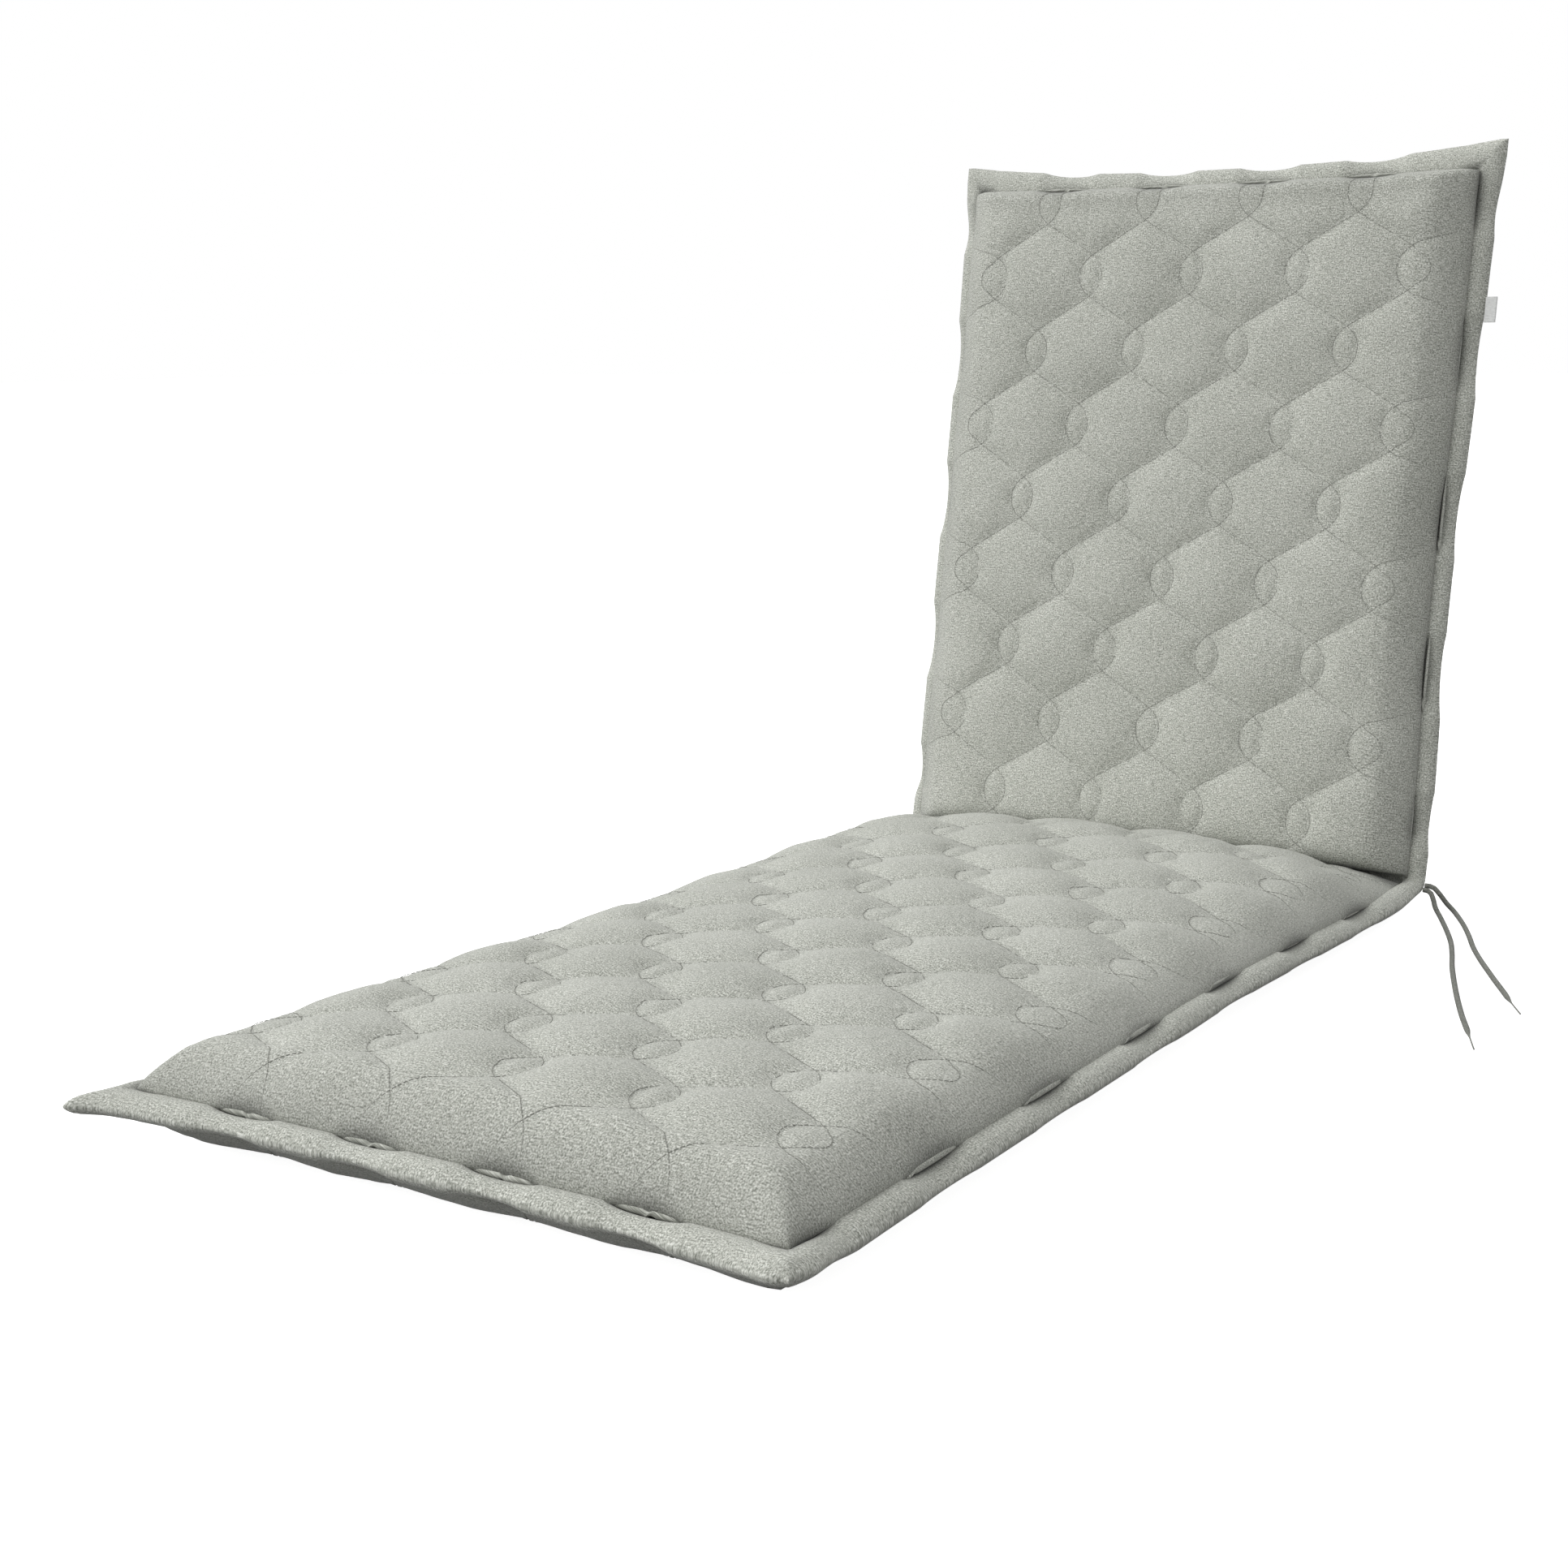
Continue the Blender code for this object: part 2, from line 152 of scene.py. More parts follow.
# Corners and edges that are not straight in the picture.
CORNER_CUT = 0.0065  # how far the foot's right-hand corner is rounded in
CORNER_POINT = 0.0080  # how far its left-hand corner is drawn out
CORNER_OWN = 1.3  # powers of how far out a point lies on its own and on the other border
CORNER_OTHER = 2
RIGHT_DRAWN_IN = 0.0050  # how far the back section's right-hand edge curves in below the label
CURVE_START = 0.04
CURVE_LENGTH = 0.50
CURVE_FROM = 0.12  # how far from the middle the cloth begins to follow
CURVE_ACROSS = 0.15

# Painted shade: the cloth's colour is darkened where shade gathers in the seams, low on the walls and in
# the fold.
SEAM_SHADE = 0.62
CLOSED_SHADE = 0.55  # share of it in a closed seam, and what a slit adds
SLIT_SHADE = 0.6
SEAM_SHADE_REACH = 0.0042
CLOSED_SHADE_REACH = 0.7  # the same for its reach
SLIT_SHADE_REACH = 1.6
WALL_SHADE = 0.26
BACK_WALL_SHADE = 0.17
WALL_SHADE_REACH = 0.046
FOLD_SHADE = 0.42
SEAT_SHADED = 0.030  # distance from the fold up to which its shade is full
BACK_SHADED = 0.012
FOLD_SHADE_REACH = 0.007
DARKEST = 0.8

# Quilting net: its rings stand on columns, half a pitch apart, and on rows.
PITCH = 0.117
COLUMN = PITCH / 2
NET_COLUMNS = range(-6, 6)
NET_ROWS = 14
SEAT_ROW = 0.0827
BACK_ROW = 0.0810
SEAT_FIRST_ROW = -1.073
BACK_LAST_ROW = 0.055
SEAT_RING = (0.0148, 0.0255)  # half the width and height of a sewn ring
BACK_RING = (0.0131, 0.0230)
RING_CURVE = 2.3
RUN_SMOOTHING = 0.0035
NET_STEP = 0.001
SKIN_ROUNDS = 700  # rounds in which the skin between the runs settles
SKIN_STEP = 1.9  # how far points move in each
PILLOW_CURVE = 0.70  # below 1, pillows rise more steeply beside their runs
NOISE_POINTS = 64
NOISE_SHIFT = (31.3, 17.7)

# Cover mesh: even cells, and finer steps in from a seam, out on the border and away from the fold.
SEAT_CELL = 0.0046
BACK_CELL = 0.0040
SEAM_STEPS = (0.0006, 0.0014, 0.0026, 0.0042, 0.0062, 0.0086, 0.0114, 0.0146, 0.0182, 0.0222, 0.0266)
BORDER_STEPS = (
    0.022, 0.052, 0.096, 0.16, 0.25, 0.355, 0.465, 0.58, 0.68, 0.77, 0.845, 0.905, 0.95, 0.98, 1)
FOLD_STEPS = (0.0015, 0.003, 0.0046, 0.0064, 0.0084, 0.0108, 0.0136, 0.0168, 0.0204, 0.0244, 0.0288)
SNAP_REACH = 0.36  # shares of a cell: how far a point is drawn onto a run,
SNAP_CLEAR = 0.7  # and how far the run has to stay from the points beside it
SNAP_FROM_FOLD = 0.02
CROSSING_FREE = 0.009  # points this close to a crossing of runs are left alone
RUN_BREAK = 0.02  # points of a run further apart than this are not joined

# Stitches.
STITCH_PITCH = 0.0043
STITCH_LENGTH = 0.0031
STITCH_SIDES = 5
THREAD_THICKNESS = 0.0006
THREAD_SUNK = 0.0010  # how much deeper stitches lie on the steep walls
THREAD_LIFT = 0.0003  # how far they stand out of the cloth everywhere
RUN_STEP = 0.0015
SEWN_FROM_SEAM = 0.004
SEWN_FROM_FOLD = 0.008
SHORTEST_RUN = 6  # points; shorter pieces of a run are left out

# Gathered cover that shows in the slits, as a flat twisted roll.
GATHER_WIDE = 0.0029
GATHER_THIN = 0.0015
GATHER_LIFT = 0.0058
GATHER_OUT = 0.0034
SIDE_GATHER = 0.040
END_GATHER = 0.027
GATHER_FROM_FOLD = 0.05
GATHER_FROM_END = 0.07
GATHER_POINTS = 37
GATHER_SIDES = 12
SIDE_NECK = -0.72  # where its half twist lies, from -1 to 1
END_NECK = 0.05
TWIST_LENGTH = 0.44
TWIST_START = 0.25
GATHER_CLOTH = 0.004  # cloth in a gather for each radian round it

# Tie, as in the solids; points of a route without a height lie on the floor.
CORD_DIAMETER = 0.005
CORD_LIFT = 0.0004
TAPER_LENGTH = 0.026
TIP_LENGTH = 0.030
TIP_SHARE = 0.27
ROUTE_STEPS = 12
LONG_END_ROUTE = [
    (0.3014, 0.0088, 0.0243), (0.3085, 0.0098, 0.0232), (0.3140, 0.0160, 0.0178),
    (0.3188, 0.0230, 0.0108), (0.3300, 0.0400, 0.0048),
    (0.3472, 0.0771), (0.3635, 0.1179), (0.3769, 0.1585), (0.3889, 0.1982), (0.4015, 0.2358),
    (0.4157, 0.2763), (0.4298, 0.3148), (0.4440, 0.3516), (0.4569, 0.3826), (0.4669, 0.4072),
    (0.4789, 0.4365),
]
SHORT_END_ROUTE = [
    (0.3012, 0.0024, 0.0273), (0.3095, 0.0030, 0.0268), (0.3170, 0.0040, 0.0205),
    (0.3240, 0.0035, 0.0120), (0.3340, 0.0085, 0.0052),
    (0.3523, 0.0415), (0.3702, 0.0826), (0.3862, 0.1228), (0.4033, 0.1605), (0.4210, 0.1962),
    (0.4361, 0.2262), (0.4532, 0.2592), (0.4704, 0.2930), (0.4842, 0.3185),
]

# Camera, worked out from the quilting net in the picture.
CAMERA_PLACE = (0.97655, -1.71292, 0.57919)
CAMERA_RIGHT = (0.83892, 0.54415, -0.01062)
CAMERA_UP = (-0.09624, 0.16752, 0.98116)
CAMERA_BACK = (0.53568, -0.82209, 0.19290)
LENS = 51.96
SENSOR = 36.0

# Colours; along a grain they run from its darkest to its lightest places.
CLOTH_COLOURS = (
    (0.05, (0.190, 0.200, 0.172)),
    (0.50, (0.430, 0.440, 0.395)),
    (0.95, (0.735, 0.745, 0.695)),
)
# Painted shade: the near-black that the cloth is mixed towards in its seams, low on its walls and in the
# fold.
PAINTED_SHADE_COLOUR = (0.035, 0.036, 0.032, 1)
# The thread's grey, darkened beyond the cloth's with painted shade of the stitch holes.
THREAD_AND_PAINTED_SHADE_COLOURS = ((0.3, (0.20, 0.205, 0.18)), (0.7, (0.29, 0.295, 0.27)))
CORD_COLOURS = ((0.3, (0.12, 0.125, 0.11)), (0.7, (0.24, 0.245, 0.22)))
TAPE_COLOURS = ((0.3, (0.60, 0.61, 0.60)), (0.7, (0.80, 0.81, 0.80)))
FLOOR_COLOUR = (0.60, 0.60, 0.59, 1)
FLOOR_GLOW = 0.90
FLOOR_DIM = (0.20, 0.20, 0.20, 1)
WHITE = (1, 1, 1, 1)

# Weave: grains in a metre of cloth, across, along and through it, and how strongly each shows.
CROSS_THREADS = (160, 820, 1)
LONG_THREADS = (820, 160, 1)
FLECKS = (780, 780, 1)
SLOW_SHADES = (9, 9, 1)
WEAVE_SHARES = (("Cross Threads", 0.9), ("Long Threads", 0.4), ("Flecks", 2.3))
SLOW_SHARE = 0.25
TAPE_WEAVE = (300, 300, 2400)

# Light, as the camera sees it: a soft key from above on the left, a low fill from the left and a
# little in front, and the pale room itself.
ROOM_LIGHT = 0.72
KEY_FROM = (-0.70, -0.20, 0.68)
KEY_LIGHT = 1.30
FILL_FROM = (-0.66, -0.74, 0.10)
FILL_LIGHT = 1.55
LIGHT_SPREAD = math.radians(60)


def smooth(t):
    """Soft step from 0 to 1."""
    t = np.clip(t, 0.0, 1.0)
    return t * t * (3 - 2 * t)


def rounded(t):
    """Quarter ellipse from 0 to 1: steep at first, level at the end."""
    t = np.clip(t, 0.0, 1.0)
    return np.sqrt(t * (2 - t))


def soft_min(a, b, softness):
    """The smaller of two values, with the corner between them rounded off."""
    h = np.clip(0.5 + 0.5 * (b - a) / softness, 0.0, 1.0)
    return b + (a - b) * h - softness * h * (1 - h)


def layer_height(v):
    """Height of the seat's middle layer above the floor."""
    return LAYER_HEIGHT - FOLD_DIP * smooth((v + DIP_LENGTH) / (DIP_LENGTH - DIP_CLEAR))


def layer(v):
    """Middle layer: its Y and Z, and the Y and Z of its upward normal."""
    turn = np.clip((v + FOLD_REACH) / (2 * FOLD_REACH), 0, 1) * FOLD_ANGLE
    before = np.minimum(0, v + FOLD_REACH)
    beyond = np.maximum(0, v - FOLD_REACH)
    dip = np.where(v < 0, layer_height(v) - FOLD_Z, 0)
    y = FOLD_Y - FOLD_REACH + FOLD_RADIUS * np.sin(turn) + before + beyond * math.sin(RECLINE)
    z = FOLD_Z + FOLD_RADIUS * (1 - np.cos(turn)) + dip + beyond * math.cos(RECLINE)
    return y, z, -np.sin(turn), np.cos(turn)


def flare(v):
    """How far the border's side edges flare out near the foot and the head."""
    to_end = np.minimum(v + SEAT_LENGTH, BACK_LENGTH - v)
    return EAR_ACROSS * np.exp(-np.maximum(0, to_end) / EAR_REACH)


def ear_along(u):
    """How far the foot and head edges reach out at the distance u from the middle."""
    return EAR_ALONG * np.minimum(1, np.abs(u) / HALF_WIDTH) ** EAR_CURVE


def seam_across(v):
    """Distance of the side seams from the middle."""
    return HALF_WIDTH - SIDE_BORDER + EAR_SHARE * flare(v)


def seam_along(u, v):
    """Distance of the end seam from the fold, on the section that v lies in."""
    seam = np.where(v < 0, SEAT_LENGTH - FOOT_BORDER, BACK_LENGTH - HEAD_BORDER)
    return seam + EAR_SHARE * ear_along(u)


def inside(u, v):
    """Distances inside the seam, from the side, the outer end and the fold; below 0 on the border."""
    return seam_across(v) - np.abs(u), seam_along(u, v) - np.abs(v), np.abs(v) - FOLD_START


def border_share(u, v):
    """How far out on the border a point lies: 0 at the seam and 1 at the edge."""
    side, end, _ = inside(u, v)
    across = SIDE_BORDER + (1 - EAR_SHARE) * flare(v)
    along = np.where(v < 0, FOOT_BORDER, HEAD_BORDER) + (1 - EAR_SHARE) * ear_along(u)
    return np.clip(np.maximum(-side / across, -end / along), 0, 1)


def net_rows(v):
    """First row, row spacing and which columns its rings stand on, for the section that v lies in."""
    seat = v < 0
    return (np.where(seat, SEAT_FIRST_ROW, BACK_LAST_ROW), np.where(seat, SEAT_ROW, BACK_ROW),
            np.where(seat, 0, 1))


def ring_column(u, row, shift):
    """The column nearest to u that has a ring in a row."""
    return 2 * np.round((u / COLUMN - row - shift) / 2) + row + shift


def sharp_run(column, v):
    """One sewn run with corners where it leaves its rings."""
    first, spacing, shift = net_rows(v)
    width = np.where(v < 0, SEAT_RING[0], BACK_RING[0])
    height = np.where(v < 0, SEAT_RING[1], BACK_RING[1])
    row = np.round((v - first) / spacing)
    away = np.abs(v - first - row * spacing)
    near = np.mod(column - row - shift, 2) == 0
    home = np.where(near, column, column + 1) * COLUMN
    side = np.where(near, -1.0, 1.0)
    round_ring = side * width * (1 - np.minimum(1, away / height) ** RING_CURVE)
    across = -side * COLUMN * np.maximum(0, away - height) / (spacing - 2 * height)
    return home + round_ring + across


def run_u(column, v):
    """Where one sewn run lies across: it swings between two columns, round the far side of rings."""
    offsets = np.linspace(-RUN_SMOOTHING, RUN_SMOOTHING, 7)
    return sum(sharp_run(column, v + offset) for offset in offsets) / len(offsets)


def pillow_tile(spacing, shift):
    """Filling pressed up between the runs of one repeat of the net, as a stretched skin lifts: 0 to 1."""
    width = round(PITCH / NET_STEP)
    length = round(2 * spacing / NET_STEP)
    sewn = np.zeros((length, width), bool)
    first = SEAT_FIRST_ROW if shift == 0 else BACK_LAST_ROW
    rows = np.arange(0, 2 * spacing, NET_STEP / 8)
    for column in (-2, -1, 0, 1):
        across = run_u(column, first + rows)
        sewn[(rows / NET_STEP).astype(int) % length, (across / NET_STEP).astype(int) % width] = True
    lift = np.zeros((length, width))
    checks = np.indices((length, width)).sum(0) % 2
    for _ in range(SKIN_ROUNDS):
        for colour in (0, 1):
            beside = sum(np.roll(lift, way, axis) for axis in (0, 1) for way in (1, -1))
            level = (beside + 1) / 4
            lift = np.where(checks == colour, lift + SKIN_STEP * (level - lift), lift)
            lift[sewn] = 0
    x, y = np.meshgrid((np.arange(width) + 0.5) * NET_STEP, (np.arange(length) + 0.5) * NET_STEP)
    row = np.round(y / spacing)
    column = ring_column(x, row, shift)
    half, tall = SEAT_RING if shift == 0 else BACK_RING
    reach = half * (1 - np.minimum(1, np.abs(y - row * spacing) / tall) ** RING_CURVE)
    lift = lift / lift.max()
    lift[np.abs(x - column * COLUMN) < reach] *= RING_DOME
    return lift ** PILLOW_CURVE


def blended(table, x, y, ease):
    """Values of a repeating table between its points; ease shapes the way from one to the next."""
    length, width = table.shape
    i, j = np.floor(x).astype(int), np.floor(y).astype(int)
    fx, fy = ease(x - i), ease(y - j)
    i0, i1, j0, j1 = i % width, (i + 1) % width, j % length, (j + 1) % length
    low = table[j0, i0] * (1 - fx) + table[j0, i1] * fx
    high = table[j1, i0] * (1 - fx) + table[j1, i1] * fx
    return low * (1 - fy) + high * fy


def read_tile(tile, across, along):
    """Values of a pillow tile at a distance across, and along in repeats of the net."""
    length, width = tile.shape
    x = np.mod(across / PITCH, 1) * width - 0.5
    y = np.mod(along, 1) * length - 0.5
    return blended(tile, x, y, lambda t: t)


SEAT_TILE = pillow_tile(SEAT_ROW, 0)
BACK_TILE = pillow_tile(BACK_ROW, 1)


def relief(u, v):
    """Height of the quilting: 0 on the sewn runs and 1 on the highest pillows."""
    seat = read_tile(SEAT_TILE, u, (v - SEAT_FIRST_ROW) / (2 * SEAT_ROW))
    back = read_tile(BACK_TILE, u, (v - BACK_LAST_ROW) / (2 * BACK_ROW))
    return np.where(v < 0, seat, back)


def soft_noise(u, v, size, seed):
    """Smooth random hills between -1 and 1, about size wide."""
    lattice = np.random.default_rng(seed).uniform(-1, 1, (NOISE_POINTS, NOISE_POINTS))
    return blended(lattice, u / size + NOISE_SHIFT[0], v / size + NOISE_SHIFT[1], smooth)


def wall_curve():
    """Profile of a filled wall, from its seam to its crest: places, inward distances and heights."""
    places = np.linspace(0, 1, 201)
    slope = np.radians(np.interp(places, WALL_PLACES, WALL_SLOPES))
    inward = np.cumsum(np.cos(slope)) - np.cos(slope[0])
    height = np.cumsum(np.sin(slope)) - np.sin(slope[0])
    return places, inward / inward[-1], height / height[-1]


CURVE_PLACES, CURVE_INWARD, CURVE_HEIGHT = wall_curve()


def wall(distance, width):
    """Share of the full filling at a distance inside a seam."""
    return np.interp(distance / width, CURVE_PLACES, CURVE_HEIGHT)


def wall_lean(distance, width):
    """How far a point of a wall lies further out than its distance inside the seam says."""
    place = np.clip(distance / width, 0, 1)
    return width * (place - np.interp(place, CURVE_PLACES, CURVE_INWARD))


def wall_widths(v, under=False):
    """Widths of the side walls and of the end wall, on the section that v lies in."""
    growth = SIDE_WALL_GROWTH * smooth((v - GROWTH_START) / WALL_GROWTH)
    side = SIDE_WALL + np.where(v < 0, growth, BACK_WALL_EXTRA)
    return side, np.where(v < 0, UNDER_WALL if under else END_WALL, HEAD_WALL)


def walls(u, v, under=False):
    """Share of the full filling, from 0 at the seams to 1."""
    side, end, fold = inside(u, v)
    side_wall, end_wall = wall_widths(v, under)
    fold_wall = np.where(v < 0, SEAT_FOLD_WALL, BACK_FOLD_WALL)
    corner = np.where(v < 0, FOLD_CORNER, 0) * (1 - np.clip(side / FOLD_CORNER_REACH, 0, 1)) ** 2
    shares = (wall(side, side_wall), wall(end, end_wall), rounded((fold - corner) / fold_wall))
    missing = sum((1 - share) ** WALL_SHARPNESS for share in shares) ** (1 / WALL_SHARPNESS)
    return np.maximum(0, 1 - missing)


def slit_share(u, v):
    """How far the seam nearest to a point stands open: 1 beside a ring's place, 0 away from one."""
    side, end, _ = inside(u, v)
    first, spacing, shift = net_rows(v)
    row = (v - first) / spacing
    odd = 2 * np.round((row + shift - 1) / 2) + 1 - shift
    along = np.abs(row - odd) * spacing / SIDE_SLIT
    column = u / COLUMN
    across = np.abs(column - 2 * np.round((column - 1) / 2) - 1) * COLUMN / END_SLIT
    place = np.where(side < end, along, across)
    return np.maximum(0, 1 - place ** 2) ** SLIT_CURVE * smooth((np.abs(v) - SLIT_CLEAR) / SLIT_CLEAR)


def border_slit(u, v):
    """How far the border is pinched beside a slit; its corners stay full."""
    side, end, _ = inside(u, v)
    return slit_share(u, v) * smooth(np.maximum(side, end) / CORNER_EASE)


def border_half(u, v):
    """Half the border's thickness: a padded roll, pinched where the quilting meets it."""
    out = border_share(u, v)
    roll = np.sqrt(np.maximum(0, 1 - (2 * out - 1) ** 2)) ** BORDER_ROLL
    slit = border_slit(u, v)
    pinch = (1 - PINCH * slit) * (1 - INNER_PINCH * slit * (1 - smooth(out / 0.5)))
    ease = FOLD_THICK + (1 - FOLD_THICK) * smooth(np.abs(v) / FOLD_EASE)
    flat = SEAM_HALF_THICK * (1 - smooth((out - EDGE_START) / EDGE_LENGTH))
    lumps = 1 + BORDER_LUMPS * soft_noise(u, v, BORDER_LUMP_SIZE, 5)
    return flat + (BORDER_HALF_THICK - SEAM_HALF_THICK) * roll * pinch * ease * lumps


def droop(u, v):
    """How far the border hangs below the middle layer."""
    hang = BORDER_DROOP + SLIT_DROOP * border_slit(u, v)
    at_foot = np.where(v < 0, smooth(inside(u, v)[1] / CORNER_EASE), 1)
    out = smooth(border_share(u, v) / DROOP_SHARE)
    return hang * at_foot * out * smooth((np.abs(v) - DROOP_START) / DROOP_GROWTH)


def filled(u, v, full, under=False):
    """Distance from the middle layer to a filled face whose sewn runs lie at full height."""
    side, end, _ = inside(u, v)
    near = np.minimum(side, end)
    share = walls(u, v, under)
    uneven = 1 + CROWN_LUMPS * soft_noise(u, v, CROWN_LUMP_SIZE, 3)
    puff = np.where(v < 0, PILLOW_CROWN, BACK_CROWN) * uneven
    puff = puff * (WALL_CROWN + (1 - WALL_CROWN) * smooth((near - CROWN_START) / CROWN_GROWTH))
    crown = puff * relief(u, v) * rounded(near / EDGE_ROUND)
    lumps = sum(height * soft_noise(u, v, size, seed) for height, size, seed in LUMPS)
    closing = slit_share(u, v) * np.exp(-near / CLOSING_REACH)
    return SEAM_HALF_THICK + (full - SEAM_HALF_THICK + crown + lumps) * share * (1 - CLOSING * closing)


def upper_lift(u, v):
    """Height of the upper face above the middle layer."""
    side, end, _ = inside(u, v)
    seat_sag = FOOT_SAG + (FOLD_SAG - FOOT_SAG) * smooth((v - GROWTH_START) / SAG_GROWTH)
    sag = np.where(v < 0, seat_sag, BACK_SAG) * np.abs(u / HALF_WIDTH) ** SAG_CURVE
    drop = FOLD_DROP * (1 - smooth(-v / DROP_LENGTH))
    full = TOP_LIFT - sag + np.where(v < 0, LAYER_HEIGHT - layer_height(v) - drop, 0)
    mitre = np.abs(v) * np.where(v < 0, SEAT_MITRE, BACK_MITRE) - MITRE_GAP
    cushion = np.maximum(SEAM_HALF_THICK, soft_min(filled(u, v, full), mitre, MITRE_SOFTNESS))
    return np.where((side <= 0) | (end <= 0), border_half(u, v), cushion)


def lower_lift(u, v):
    """Depth of the lower or rear face under the middle layer."""
    side, end, _ = inside(u, v)
    full = np.where(v < 0, layer_height(v) - UNDER_GAP, REAR_LIFT)
    return np.where((side <= 0) | (end <= 0), border_half(u, v), filled(u, v, full, True))


def lean(distance, width, slit, drawn):
    """How far a point moves outwards: walls bulge over their seam, and part where a slit opens."""
    d = np.abs(distance)
    part = SLIT_OPEN * slit * np.exp(-d / SLIT_REACH) * smooth(d / SLIT_LIP)
    inner = BORDER_LEAN * d / LEAN_REACH * np.exp(1 - d / LEAN_REACH) * (1 - slit)
    on_border = BORDER_PART * part - inner - drawn
    return np.where(distance > 0, wall_lean(distance, width) - part, on_border)


def cover_points(u, v, upper, sunk=0.0):
    """Points of the upper or lower face at cloth coordinates u, v, or sunk a little under it."""
    side, end, _ = inside(u, v)
    slit = slit_share(u, v)
    _, _, normal_y, normal_z = layer(v)
    lift = (upper_lift(u, v) - sunk if upper else sunk - lower_lift(u, v)) - droop(u, v)
    drawn = DRAWN_IN * border_slit(u, v) * border_share(u, v)
    side_wall, end_wall = wall_widths(v, not upper)
    shift_u = np.sign(u) * lean(side, side_wall, slit, drawn)
    shift_v = np.where(v < 0, -1, 1) * lean(end, end_wall, slit, drawn)
    shift_u = shift_u * smooth((end + SHIFT_START) / SHIFT_EASE)
    shift_v = shift_v * smooth((side + SHIFT_START) / SHIFT_EASE)
    cut = np.where(v < 0, np.where(u > 0, CORNER_CUT, -CORNER_POINT), 0)
    across, along = np.clip(-side / SIDE_BORDER, 0, 1), np.clip(-end / FOOT_BORDER, 0, 1)
    shift_u = shift_u - np.sign(u) * cut * across ** CORNER_OWN * along ** CORNER_OTHER
    shift_v = shift_v + cut * across ** CORNER_OTHER * along ** CORNER_OWN
    curve = np.sin(math.pi * np.clip((v - CURVE_START) / CURVE_LENGTH, 0, 1)) ** 2
    shift_u = shift_u - RIGHT_DRAWN_IN * curve * smooth((u - CURVE_FROM) / CURVE_ACROSS)
    y, z, _, _ = layer(v + shift_v)
    y = y + lift * normal_y
    z = z + lift * normal_z
    z = 0.5 * (z + np.sqrt(z * z + FLOOR_SOFTNESS ** 2))
    return np.stack([u + shift_u, y, z], -1)


def painted_seam_shade(u, v):
    """Painted shade: how much darker the cloth is coloured in the seams, low on the walls and in the fold,
    where shade falls.
    """
    side, end, _ = inside(u, v)
    on_border = np.minimum(side, end) < 0
    near = np.abs(np.minimum(side, end))
    slit = slit_share(u, v)
    reach = SEAM_SHADE_REACH * (CLOSED_SHADE_REACH + SLIT_SHADE_REACH * slit)
    seam = SEAM_SHADE * (CLOSED_SHADE + SLIT_SHADE * slit) * np.exp(-(near / reach) ** 2)
    low = np.where(v < 0, WALL_SHADE, BACK_WALL_SHADE) * (1 - smooth(near / WALL_SHADE_REACH))
    from_fold = np.maximum(0, np.abs(v) - np.where(v < 0, SEAT_SHADED, BACK_SHADED))
    fold = FOLD_SHADE * np.exp(-from_fold / FOLD_SHADE_REACH)
    shade = seam + np.where(on_border, 0, low) + np.where(on_border, 0, fold)
    return np.clip(shade, 0, DARKEST)


def spaced(start, stop, step):
    """Even spacing from start to stop, close to step, without the last point."""
    count = max(1, round(abs(stop - start) / step))
    return [start + (stop - start) * k / count for k in range(count)]


def out_to_edge(start, seam, border, cell):
    """Places from a start out to a seam, finer beside it, and on over the border."""
    out = spaced(start, seam - SEAM_STEPS[-1], cell) + [seam - step for step in reversed(SEAM_STEPS)]
    return out + [seam] + [seam + step * border for step in BORDER_STEPS]


def columns(cell):
    """Distances across at which the cover has points."""
    half = out_to_edge(0, HALF_WIDTH - SIDE_BORDER, SIDE_BORDER, cell)
    return np.array([-c for c in reversed(half[1:])] + half)


def rows(length, sign, cell):
    """Distances from the fold to an end at which the cover has points."""
    border = FOOT_BORDER if sign < 0 else HEAD_BORDER
    out = out_to_edge(FOLD_STEPS[-1], length - border, border, cell)
    return sign * np.array([0] + list(FOLD_STEPS[:-1]) + out)


def flare_spread(beyond, border):
    """Share of a corner's flare taken by a point at a distance beyond the seam."""
    on_border = np.clip(beyond / border, 0, 1)
    return EAR_SHARE * smooth(beyond / EAR_SPREAD + 1) + (1 - EAR_SHARE) * on_border


def drawn_to_ears(u, v, border):
    """The grid's edges drawn out into the free corners."""
    seam = (SEAT_LENGTH if v.min() < 0 else BACK_LENGTH) - border
    across = np.sign(u) * flare_spread(np.abs(u) - HALF_WIDTH + SIDE_BORDER, SIDE_BORDER)
    along = np.sign(v) * flare_spread(np.abs(v) - seam, border)
    wide, long = u, v
    for _ in range(4):
        wide = u + across * flare(long)
        long = v + along * ear_along(wide)
    return wide, long


def sewn_runs(low, high):
    """Every sewn run between two distances from the fold, as arrays of cloth coordinates."""
    v = np.arange(low, high, RUN_STEP)
    return [(run_u(column, v), v) for column in NET_COLUMNS]


